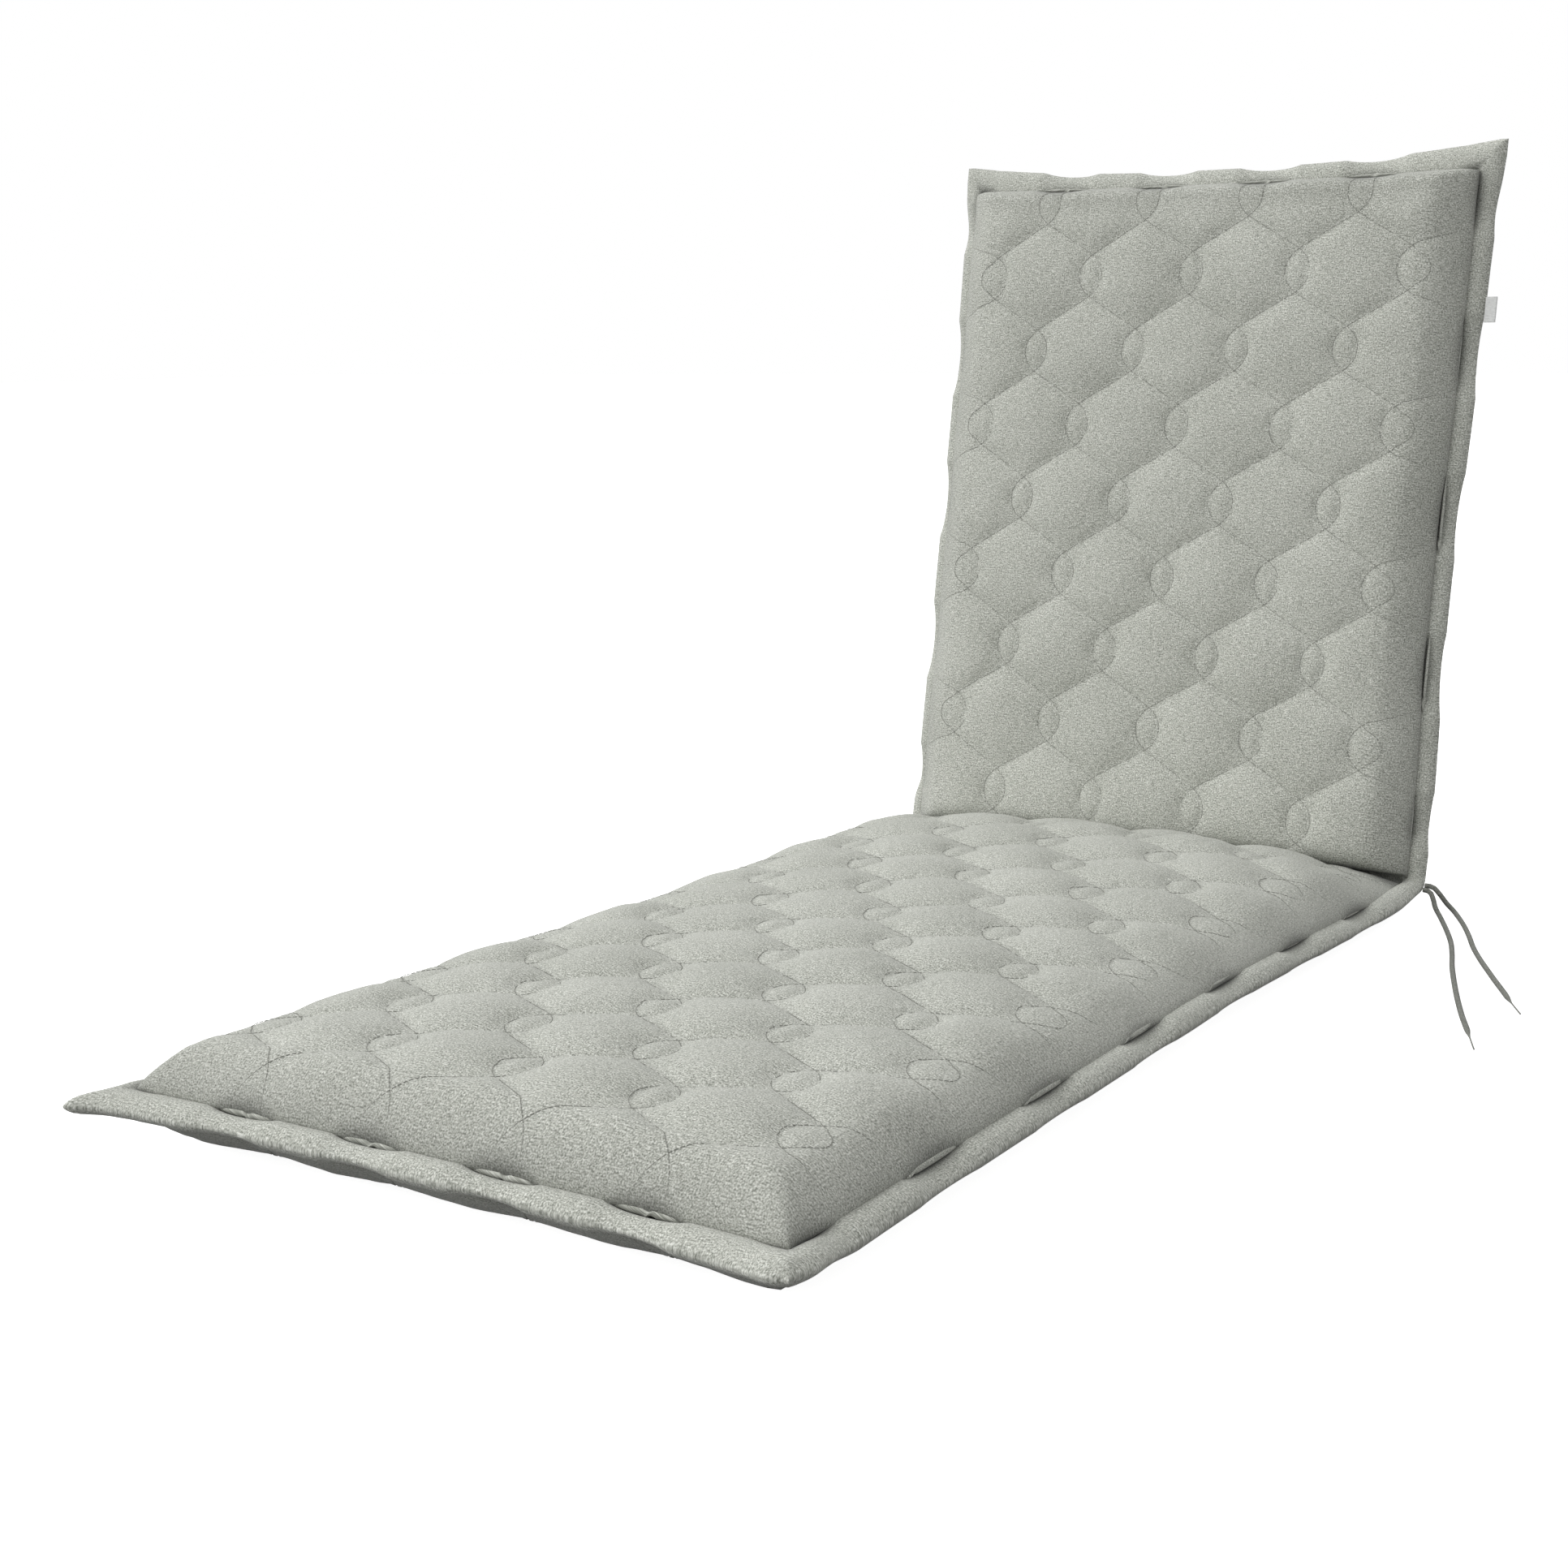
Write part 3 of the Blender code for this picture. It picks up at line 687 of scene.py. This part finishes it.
def snapped(u, v, cell, low, high):
    """Grid points close to a sewn run drawn onto it, so that the cover creases along the run."""
    points = np.concatenate([np.stack(run, -1) for run in sewn_runs(low, high)])
    joined = [(a, b) for a, b in zip(points, points[1:]) if abs(a - b).sum() < RUN_BREAK]
    points = np.concatenate([np.linspace(a, b, 6) for a, b in joined])
    tree = KDTree(len(points))
    for k, (x, y) in enumerate(points):
        tree.insert((x, y, 0), k)
    tree.balance()
    side, end, fold = inside(u, v)
    even = np.minimum(np.minimum(side, end), fold - SNAP_FROM_FOLD) > SEAM_STEPS[-1]
    first, spacing, shift = net_rows(v)
    row = np.round((v - first) / spacing)
    column = ring_column(u, row, shift)
    height = np.where(v < 0, SEAT_RING[1], BACK_RING[1])
    to_crossing = np.hypot(u - column * COLUMN, np.abs(v - first - row * spacing) - height)
    for j, i in np.argwhere(even & (to_crossing > CROSSING_FREE)):
        place, _, distance = tree.find((u[j, i], v[j, i], 0))
        around = (slice(j - 1, j + 2), slice(i - 1, i + 2))
        beside = np.hypot(u[around] - place.x, v[around] - place.y)
        beside[1, 1] = cell
        if distance < SNAP_REACH * cell and beside.min() > SNAP_CLEAR * cell:
            u[j, i], v[j, i] = place.x, place.y
    return u, v


def cover_faces(table, heights, flip):
    """Triangles between the points of one face, cut along the lower diagonal of each cell."""
    a, b = table[:-1, :-1], table[:-1, 1:]
    d, c = table[1:, :-1], table[1:, 1:]
    along = heights[:-1, :-1] + heights[1:, 1:] < heights[:-1, 1:] + heights[1:, :-1]
    along[-1, 0] = False
    along[-1, -1] = True
    first = np.where(along[..., None], np.stack([a, b, c], -1), np.stack([a, b, d], -1))
    second = np.where(along[..., None], np.stack([a, c, d], -1), np.stack([b, c, d], -1))
    both = np.concatenate([first.reshape(-1, 3), second.reshape(-1, 3)])
    return both[:, ::-1] if flip else both


def lay_cloth(mesh, grid_u, grid_v, outward, rim):
    """The cloth's own coordinates and its painted shade in the seams, low on the walls and in the fold, on
    every point of a section.
    """
    side, end, _ = inside(grid_u, grid_v)
    side_wall, end_wall = wall_widths(grid_v)
    spread_u = (WALL_STRETCH - 1) * side_wall * np.clip(1 - side / side_wall, 0, 1)
    spread_v = (WALL_STRETCH - 1) * end_wall * np.clip(1 - end / end_wall, 0, 1)
    on_cloth = np.stack([grid_u + np.sign(grid_u) * spread_u, grid_v + np.sign(outward) * spread_v], -1)
    cloth = np.concatenate([on_cloth.reshape(-1, 2), on_cloth[~rim]])
    loops = np.empty(len(mesh.loops), np.int32)
    mesh.loops.foreach_get("vertex_index", loops)
    cloth_uv = mesh.uv_layers.new(name="cloth")
    cloth_uv.data.foreach_set("uv", cloth[loops].astype(np.float32).ravel())
    shades = painted_seam_shade(grid_u, grid_v)
    shade = mesh.attributes.new("painted_seam_shade", "FLOAT", "POINT")
    shade.data.foreach_set("value", np.concatenate([shades.ravel(), shades[~rim]]).astype(np.float32))


def section_mesh(name, grid_u, grid_v, outward):
    """One closed section: upper and lower faces that share the border's edge, closed at the fold."""
    count_v, count_u = grid_u.shape
    upper = cover_points(grid_u, grid_v, True)
    lower = cover_points(grid_u, grid_v, False)
    rim = np.zeros(grid_u.shape, bool)
    rim[:, 0] = rim[:, -1] = rim[-1, :] = True
    middle = 0.5 * (upper + lower)
    upper[rim] = lower[rim] = middle[rim]
    index = np.arange(count_u * count_v).reshape(count_v, count_u)
    low_index = index.copy()
    low_index[~rim] = count_u * count_v + np.arange((~rim).sum())
    verts = np.concatenate([upper.reshape(-1, 3), lower[~rim]])
    heights = relief(grid_u, grid_v)
    faces = [cover_faces(index, heights, outward < 0), cover_faces(low_index, heights, outward > 0)]
    up, down = index[0].tolist(), low_index[0].tolist()
    cap = [(up[k], down[k], down[k + 1], up[k + 1]) for k in range(count_u - 1)]
    cap = [tuple(dict.fromkeys(face)) for face in cap]
    if outward > 0:
        cap = [face[::-1] for face in cap]
    mesh = bpy.data.meshes.new(name)
    mesh.from_pydata(verts.tolist(), [], np.concatenate(faces).tolist() + cap)
    lay_cloth(mesh, grid_u, grid_v, outward, rim)
    mesh.shade_smooth()
    return mesh


def place_object(name, data):
    """A new object in the scene."""
    item = bpy.data.objects.new(name, data)
    bpy.context.scene.collection.objects.link(item)
    return item


def add_piece(name, data, material):
    """A finished piece of the cushion, riding on its only body."""
    piece = place_object(name, data)
    data.materials.clear()
    data.materials.append(material)
    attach(piece, "root")
    return piece


def make_section(name, length, sign, cell, cloth):
    """The seat or the back section of the cover."""
    grid_u, grid_v = np.meshgrid(columns(cell), rows(length, sign, cell))
    grid_u, grid_v = drawn_to_ears(grid_u, grid_v, FOOT_BORDER if sign < 0 else HEAD_BORDER)
    low, high = sorted((0, sign * length))
    grid_u, grid_v = snapped(grid_u, grid_v, cell, low, high)
    mesh = section_mesh(name, grid_u, grid_v, sign)
    piece = add_piece(name, mesh, cloth)
    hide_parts("cushion")


def new_material(name, roughness, sheen):
    """A material with a plain Principled shader, and its tree."""
    material = bpy.data.materials.new(name)
    material.use_nodes = True
    tree = material.node_tree
    shader = tree.nodes["Principled BSDF"]
    shader.inputs["Roughness"].default_value = roughness
    shader.inputs["Sheen Weight"].default_value = sheen
    shader.inputs["Specular IOR Level"].default_value = 0.25
    return material, tree, shader


def noise(tree, source, scale, detail, stretch):
    """A noise texture read at coordinates stretched by three factors."""
    mapping = tree.nodes.new("ShaderNodeMapping")
    mapping.inputs["Scale"].default_value = stretch
    texture = tree.nodes.new("ShaderNodeTexNoise")
    texture.inputs["Scale"].default_value = scale
    texture.inputs["Detail"].default_value = detail
    tree.links.new(source, mapping.inputs["Vector"])
    tree.links.new(mapping.outputs["Vector"], texture.inputs["Vector"])
    return texture.outputs["Fac"]


def math_node(tree, operation, a, b):
    """One arithmetic node; a and b are sockets or numbers."""
    node = tree.nodes.new("ShaderNodeMath")
    node.operation = operation
    for socket, value in zip(node.inputs, (a, b)):
        if isinstance(value, (int, float)):
            socket.default_value = value
        else:
            tree.links.new(value, socket)
    return node.outputs[0]


def swing(tree, value, share):
    """A noise value turned into a swing about zero, as wide as its share says."""
    return math_node(tree, "MULTIPLY", math_node(tree, "SUBTRACT", value, 0.5), share)


def weave_group():
    """Melange weave on cloth coordinates in metres: a thread mask, a height and a slow change of shade."""
    group = bpy.data.node_groups.new("melange_weave", "ShaderNodeTree")
    face = group.interface
    face.new_socket("Cloth", in_out="INPUT", socket_type="NodeSocketVector")
    for name, value in WEAVE_SHARES:
        socket = face.new_socket(name, in_out="INPUT", socket_type="NodeSocketFloat")
        socket.default_value = value
    for name in ("Thread", "Height", "Shade"):
        face.new_socket(name, in_out="OUTPUT", socket_type="NodeSocketFloat")
    given = group.nodes.new("NodeGroupInput")
    result = group.nodes.new("NodeGroupOutput")
    cloth = given.outputs["Cloth"]
    cross = noise(group, cloth, 1.0, 2.0, CROSS_THREADS)
    long = noise(group, cloth, 1.0, 2.0, LONG_THREADS)
    fleck = noise(group, cloth, 1.0, 4.0, FLECKS)
    slow = noise(group, cloth, 1.0, 2.0, SLOW_SHADES)
    parts = [swing(group, value, given.outputs[name])
             for value, (name, _) in zip((cross, long, fleck), WEAVE_SHARES)]
    total = math_node(group, "ADD", math_node(group, "ADD", parts[0], parts[1]), parts[2])
    group.links.new(math_node(group, "ADD", total, 0.5), result.inputs["Thread"])
    group.links.new(total, result.inputs["Height"])
    group.links.new(slow, result.inputs["Shade"])
    return group


def colour_ramp(tree, value, stops):
    """Colours blended along a value; stops are (place, colour)."""
    ramp = tree.nodes.new("ShaderNodeValToRGB")
    elements = ramp.color_ramp.elements
    while len(elements) < len(stops):
        elements.new(0.5)
    for element, (place, colour) in zip(elements, stops):
        element.position = place
        element.color = (*colour, 1)
    tree.links.new(value, ramp.inputs["Fac"])
    return ramp.outputs["Color"]


def raise_grain(tree, shader, height, distance, strength):
    """A grain too fine to model, as a relief in the shading."""
    bump = tree.nodes.new("ShaderNodeBump")
    bump.inputs["Distance"].default_value = distance
    bump.inputs["Strength"].default_value = strength
    tree.links.new(height, bump.inputs["Height"])
    tree.links.new(bump.outputs["Normal"], shader.inputs["Normal"])


def grained_material(name, roughness, sheen, grain, colours):
    """A material with colours along a grain; the grain is a scale, a detail and a stretch."""
    material, tree, shader = new_material(name, roughness, sheen)
    place = tree.nodes.new("ShaderNodeTexCoord")
    value = noise(tree, place.outputs["Object"], *grain)
    tree.links.new(colour_ramp(tree, value, colours), shader.inputs["Base Color"])
    return material, tree, shader, value


def cloth_material(weave):
    """The cover's light grey melange cloth, with painted shade in its seams, low on its walls and in the
    fold.
    """
    material, tree, shader = new_material("melange_cloth", 0.92, 0.15)
    cloth = tree.nodes.new("ShaderNodeUVMap")
    cloth.uv_map = "cloth"
    node = tree.nodes.new("ShaderNodeGroup")
    node.node_tree = weave
    tree.links.new(cloth.outputs["UV"], node.inputs["Cloth"])
    slow = swing(tree, node.outputs["Shade"], SLOW_SHARE)
    value = math_node(tree, "ADD", node.outputs["Thread"], slow)
    colour = colour_ramp(tree, value, CLOTH_COLOURS)
    # Painted shade: the seam shade attribute mixes the colour towards a near-black in the seams, low on
    # the walls and in the fold.
    seams = tree.nodes.new("ShaderNodeAttribute")
    seams.attribute_name = "painted_seam_shade"
    darker = tree.nodes.new("ShaderNodeMixRGB")
    darker.blend_type = "MIX"
    darker.inputs["Color2"].default_value = PAINTED_SHADE_COLOUR
    tree.links.new(seams.outputs["Fac"], darker.inputs["Fac"])
    tree.links.new(colour, darker.inputs["Color1"])
    tree.links.new(darker.outputs["Color"], shader.inputs["Base Color"])
    raise_grain(tree, shader, node.outputs["Height"], 0.0006, 0.25)
    return material


def thread_material():
    """Sewing thread: its own grey, coloured darker than the cloth with painted shade of the stitch holes.
    """
    return grained_material("sewing_thread", 0.8, 0.0, (900, 1.0, (1, 1, 1)), THREAD_AND_PAINTED_SHADE_COLOURS)[0]


def cord_material():
    """Dark grey braided cord."""
    material, tree, shader, value = grained_material(
        "tie_cord", 0.85, 0.1, (700, 2.0, (1, 1, 1)), CORD_COLOURS)
    raise_grain(tree, shader, value, 0.0004, 1.0)
    return material


def tape_material():
    """White woven label tape."""
    return grained_material("label_tape", 0.75, 0.1, (1.0, 1.0, TAPE_WEAVE), TAPE_COLOURS)[0]


def stitch_tree():
    """Geometry nodes that sew stitches along curves: short thread lengths, one each pitch."""
    tree = bpy.data.node_groups.new("sewn_run", "GeometryNodeTree")
    face = tree.interface
    face.new_socket("Geometry", in_out="INPUT", socket_type="NodeSocketGeometry")
    for name in ("Pitch", "Length", "Thickness"):
        face.new_socket(name, in_out="INPUT", socket_type="NodeSocketFloat")
    face.new_socket("Thread", in_out="INPUT", socket_type="NodeSocketMaterial")
    face.new_socket("Geometry", in_out="OUTPUT", socket_type="NodeSocketGeometry")
    given, result, resample, stitch, half, tangent, turn, place, real, finish = (
        tree.nodes.new(kind) for kind in (
            "NodeGroupInput", "NodeGroupOutput", "GeometryNodeResampleCurve", "GeometryNodeMeshCylinder",
            "ShaderNodeMath", "GeometryNodeInputTangent", "FunctionNodeAlignRotationToVector",
            "GeometryNodeInstanceOnPoints", "GeometryNodeRealizeInstances", "GeometryNodeSetMaterial"))
    resample.mode = "LENGTH"
    stitch.inputs["Vertices"].default_value = STITCH_SIDES
    stitch.fill_type = "NGON"
    half.operation = "MULTIPLY"
    half.inputs[1].default_value = 0.5
    turn.axis = "Z"
    for source, output, target, socket in (
        (given, "Geometry", resample, "Curve"),
        (given, "Pitch", resample, "Length"),
        (given, "Thickness", half, 0),
        (half, 0, stitch, "Radius"),
        (given, "Length", stitch, "Depth"),
        (tangent, 0, turn, "Vector"),
        (resample, "Curve", place, "Points"),
        (stitch, "Mesh", place, "Instance"),
        (turn, "Rotation", place, "Rotation"),
        (place, "Instances", real, "Geometry"),
        (real, "Geometry", finish, "Geometry"),
        (given, "Thread", finish, "Material"),
        (finish, "Geometry", result, "Geometry"),
    ):
        tree.links.new(source.outputs[output], target.inputs[socket])
    return tree


def runs_on_cover(low, high, upper):
    """Sewn runs as lists of points on the cover, broken where they pass the border's edge."""
    lines = []
    for u, v in sewn_runs(low, high):
        side, end, fold = inside(u, v)
        shown = (np.minimum(side, end) > SEWN_FROM_SEAM) & (fold > SEWN_FROM_FOLD)
        points = cover_points(u, v, upper, THREAD_SUNK * (1 - walls(u, v)) - THREAD_LIFT)
        edges = np.flatnonzero(np.diff(np.concatenate([[False], shown, [False]]).astype(int)))
        for start, stop in zip(edges[::2], edges[1::2]):
            if stop - start > SHORTEST_RUN:
                lines.append(points[start:stop])
    return lines


def make_stitches(name, low, high, upper, tree, thread):
    """All the stitches of one face of one section, as one plain mesh."""
    curve = bpy.data.curves.new(name + "_path", "CURVE")
    curve.dimensions = "3D"
    for line in runs_on_cover(low, high, upper):
        spline = curve.splines.new("POLY")
        spline.points.add(len(line) - 1)
        spline.points.foreach_set("co", np.column_stack([line, np.ones(len(line))]).ravel())
    path = place_object(name + "_path", curve)
    modifier = path.modifiers.new("sewn_run", "NODES")
    modifier.node_group = tree
    values = {"Pitch": STITCH_PITCH, "Length": STITCH_LENGTH,
              "Thickness": THREAD_THICKNESS, "Thread": thread}
    for item in tree.interface.items_tree:
        if item.in_out == "INPUT" and item.name in values:
            modifier[item.identifier] = values[item.name]
    evaluated = path.evaluated_get(bpy.context.evaluated_depsgraph_get())
    mesh = bpy.data.meshes.new_from_object(evaluated)
    mesh.name = name
    bpy.data.objects.remove(path)
    add_piece(name, mesh, thread)


def gather_places(sign):
    """Middles and half-lengths of one section's gathers: along its sides, then along its end."""
    length, first, spacing, odd = (SEAT_LENGTH, SEAT_FIRST_ROW, SEAT_ROW, 1) if sign < 0 else (
        BACK_LENGTH, BACK_LAST_ROW, BACK_ROW, 0)
    places = []
    for k in range(odd, NET_ROWS, 2):
        middle = first + k * spacing
        if GATHER_FROM_FOLD < abs(middle) < length - GATHER_FROM_END and middle * sign > 0:
            places += [("side", side, middle, SIDE_GATHER) for side in (-1, 1)]
    places += [("end", sign, k * COLUMN, END_GATHER) for k in (-3, -1, 1, 3)]
    return places


def gather_line(kind, side, middle, half, sign):
    """Points, outward and upward directions and cloth coordinates along one gather."""
    along = middle + np.linspace(-half, half, GATHER_POINTS)
    if kind == "side":
        u, v = side * (seam_across(along) + GATHER_OUT), along
        outward = np.array((side, 0, 0)) + np.zeros((len(along), 3))
        _, _, up_y, up_z = layer(v)
    else:
        u = along
        v = side * (seam_along(u, np.full_like(u, float(sign))) + GATHER_OUT)
        _, _, up_y, up_z = layer(v)
        outward = np.stack([0 * u, up_z * sign, -up_y * sign], -1)
    y, z, _, _ = layer(v)
    upward = np.stack([0 * u, up_y, up_z], -1)
    return np.stack([u, y, z], -1) + GATHER_LIFT * upward, outward, upward, u, v


def make_gathers(name, sign, cloth):
    """The gathered cover in the slits of one section's seam, as twisted rolls with tapered ends."""
    turns = np.linspace(0, 2 * math.pi, GATHER_SIDES, endpoint=False)
    verts, faces, spots = [], [], []
    for number, (kind, side, middle, half) in enumerate(gather_places(sign)):
        line, outward, upward, u, v = gather_line(kind, side, middle, half, sign)
        t = np.linspace(-1, 1, len(line))
        size = (1 - np.abs(t) ** 3) ** 0.5
        neck = SIDE_NECK if kind == "side" else END_NECK
        twisted = smooth((t - neck + TWIST_LENGTH / 2) / TWIST_LENGTH)
        twist = math.pi * twisted * (-1) ** number + TWIST_START
        start = len(verts)
        for k in range(1, len(line) - 1):
            wide = GATHER_WIDE * size[k] * np.cos(turns)
            thin = GATHER_THIN * (0.5 + 0.5 * size[k]) * size[k] * np.sin(turns)
            out = wide * math.sin(twist[k]) - thin * math.cos(twist[k])
            up = wide * math.cos(twist[k]) + thin * math.sin(twist[k])
            verts += (line[k] + out[:, None] * outward[k] + up[:, None] * upward[k]).tolist()
            spots += [(u[k] + GATHER_CLOTH * turn, v[k]) for turn in turns]
        verts += [line[0].tolist(), line[-1].tolist()]
        spots += [(u[0], v[0]), (u[-1], v[-1])]
        count = len(turns)
        rings = len(line) - 2
        for k in range(rings - 1):
            a, b = start + k * count, start + (k + 1) * count
            faces += [(a + m, a + (m + 1) % count, b + (m + 1) % count, b + m) for m in range(count)]
        last = start + (rings - 1) * count
        faces += [(start + rings * count, start + (m + 1) % count, start + m) for m in range(count)]
        faces += [(start + rings * count + 1, last + m, last + (m + 1) % count) for m in range(count)]
    mesh = bpy.data.meshes.new(name)
    mesh.from_pydata(verts, [], faces)
    cloth_uv = mesh.uv_layers.new(name="cloth")
    for loop in mesh.loops:
        cloth_uv.data[loop.index].uv = spots[loop.vertex_index]
    body = bmesh.new()
    body.from_mesh(mesh)
    bmesh.ops.recalc_face_normals(body, faces=body.faces)
    body.to_mesh(mesh)
    body.free()
    mesh.shade_smooth()
    add_piece(name, mesh, cloth)


def smooth_route(points, spacing):
    """Points at even spacing along a smooth curve through the route's own points."""
    ends = [2 * points[0] - points[1]] + points + [2 * points[-1] - points[-2]]
    fine = []
    for p0, p1, p2, p3 in zip(ends, ends[1:], ends[2:], ends[3:]):
        for k in range(ROUTE_STEPS):
            t = k / ROUTE_STEPS
            fine.append(0.5 * (2 * p1 + (p2 - p0) * t + (2 * p0 - 5 * p1 + 4 * p2 - p3) * t * t
                               + (3 * p1 - p0 - 3 * p2 + p3) * t ** 3))
    fine.append(points[-1])
    lengths = [(b - a).length for a, b in zip(fine, fine[1:])]
    total = sum(lengths)
    count = max(2, round(total / spacing))
    out, walked, at = [fine[0]], 0.0, 0
    for k in range(1, count):
        goal = total * k / count
        while walked + lengths[at] < goal:
            walked += lengths[at]
            at += 1
        out.append(fine[at].lerp(fine[at + 1], (goal - walked) / lengths[at]))
    return out + [fine[-1]], total


def make_cord(name, route, material):
    """One free end of the tie, narrowing to a thread at its tip."""
    floor = CORD_DIAMETER / 2 + CORD_LIFT
    points = [Vector((x, FOLD_Y - front, *(height or [floor]))) for x, front, *height in route]
    line, total = smooth_route(points, CORD_DIAMETER)
    curve = bpy.data.curves.new(name, "CURVE")
    curve.dimensions = "3D"
    curve.bevel_depth = CORD_DIAMETER / 2
    curve.bevel_resolution = 3
    curve.use_fill_caps = True
    spline = curve.splines.new("POLY")
    spline.points.add(len(line) - 1)
    walked = 0.0
    for k, point in enumerate(line):
        if k:
            walked += (point - line[k - 1]).length
        spline.points[k].co = (*point, 1)
        thin = float(smooth((total - walked - TIP_LENGTH) / TAPER_LENGTH))
        spline.points[k].radius = TIP_SHARE + (1 - TIP_SHARE) * thin
    cord = add_piece(name + "_cord", curve, material)
    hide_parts(name)


def make_camera():
    """The camera at the picture's place and angle."""
    data = bpy.data.cameras.new("camera")
    data.lens = LENS
    data.sensor_width = SENSOR
    camera = place_object("camera", data)
    turn = Matrix((CAMERA_RIGHT, CAMERA_UP, CAMERA_BACK)).transposed().to_4x4()
    camera.matrix_world = Matrix.Translation(CAMERA_PLACE) @ turn
    bpy.context.scene.camera = camera


def show_camera(tree, seen, lit, output):
    """One shader for the camera, and another for all other light."""
    path = tree.nodes.new("ShaderNodeLightPath")
    choice = tree.nodes.new("ShaderNodeMixShader")
    tree.links.new(path.outputs["Is Camera Ray"], choice.inputs["Fac"])
    tree.links.new(lit, choice.inputs[1])
    tree.links.new(seen, choice.inputs[2])
    tree.links.new(choice.outputs["Shader"], tree.nodes[output].inputs["Surface"])


def make_floor():
    """A plain pale floor that throws little light back up."""
    mesh = bpy.data.meshes.new("floor")
    size = 30
    corners = [(-size, -size, 0), (size, -size, 0), (size, size, 0), (-size, size, 0)]
    mesh.from_pydata(corners, [], [(0, 1, 2, 3)])
    material, tree, shader = new_material("pale_floor", 0.9, 0.0)
    shader.inputs["Base Color"].default_value = FLOOR_COLOUR
    shader.inputs["Emission Color"].default_value = WHITE
    shader.inputs["Emission Strength"].default_value = FLOOR_GLOW
    dim = tree.nodes.new("ShaderNodeBsdfDiffuse")
    dim.inputs["Color"].default_value = FLOOR_DIM
    show_camera(tree, shader.outputs["BSDF"], dim.outputs["BSDF"], "Material Output")
    mesh.materials.append(material)
    place_object("floor", mesh)


def make_light(name, direction, power):
    """One very soft lamp that shines from a direction, evenly all over."""
    data = bpy.data.lights.new(name, "SUN")
    data.angle = LIGHT_SPREAD
    data.energy = power
    lamp = place_object(name, data)
    lamp.location = Vector(direction) * 3
    lamp.rotation_euler = Vector(direction).to_track_quat("Z", "Y").to_euler()


def make_studio():
    """Soft studio light: a bright room and two large lamps on the left, one high and one low."""
    world = bpy.data.worlds.new("studio")
    world.use_nodes = True
    tree = world.node_tree
    room = tree.nodes["Background"]
    room.inputs["Color"].default_value = WHITE
    room.inputs["Strength"].default_value = ROOM_LIGHT
    backdrop = tree.nodes.new("ShaderNodeBackground")
    backdrop.inputs["Color"].default_value = WHITE
    show_camera(tree, backdrop.outputs["Background"], room.outputs["Background"], "World Output")
    bpy.context.scene.world = world
    make_light("key", KEY_FROM, KEY_LIGHT)
    make_light("fill", FILL_FROM, FILL_LIGHT)
    bpy.context.scene.view_settings.view_transform = "Standard"


make_camera()
make_studio()
make_floor()
cord_finish = cord_material()
make_cord("tie_end_long", LONG_END_ROUTE, cord_finish)
make_cord("tie_end_short", SHORT_END_ROUTE, cord_finish)
cloth = cloth_material(weave_group())
make_section("seat_section", SEAT_LENGTH, -1, SEAT_CELL, cloth)
make_section("back_section", BACK_LENGTH, 1, BACK_CELL, cloth)
thread = thread_material()
sewing = stitch_tree()
make_stitches("seat_stitches", -SEAT_LENGTH, 0, True, sewing, thread)
make_stitches("back_stitches", 0, BACK_LENGTH, True, sewing, thread)
make_stitches("underside_stitches", -SEAT_LENGTH, 0, False, sewing, thread)
make_stitches("rear_stitches", 0, BACK_LENGTH, False, sewing, thread)
make_gathers("seat_seam_gathers", -1, cloth)
make_gathers("back_seam_gathers", 1, cloth)
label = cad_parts["side_label"]
label.data.materials.clear()
label.data.materials.append(tape_material())
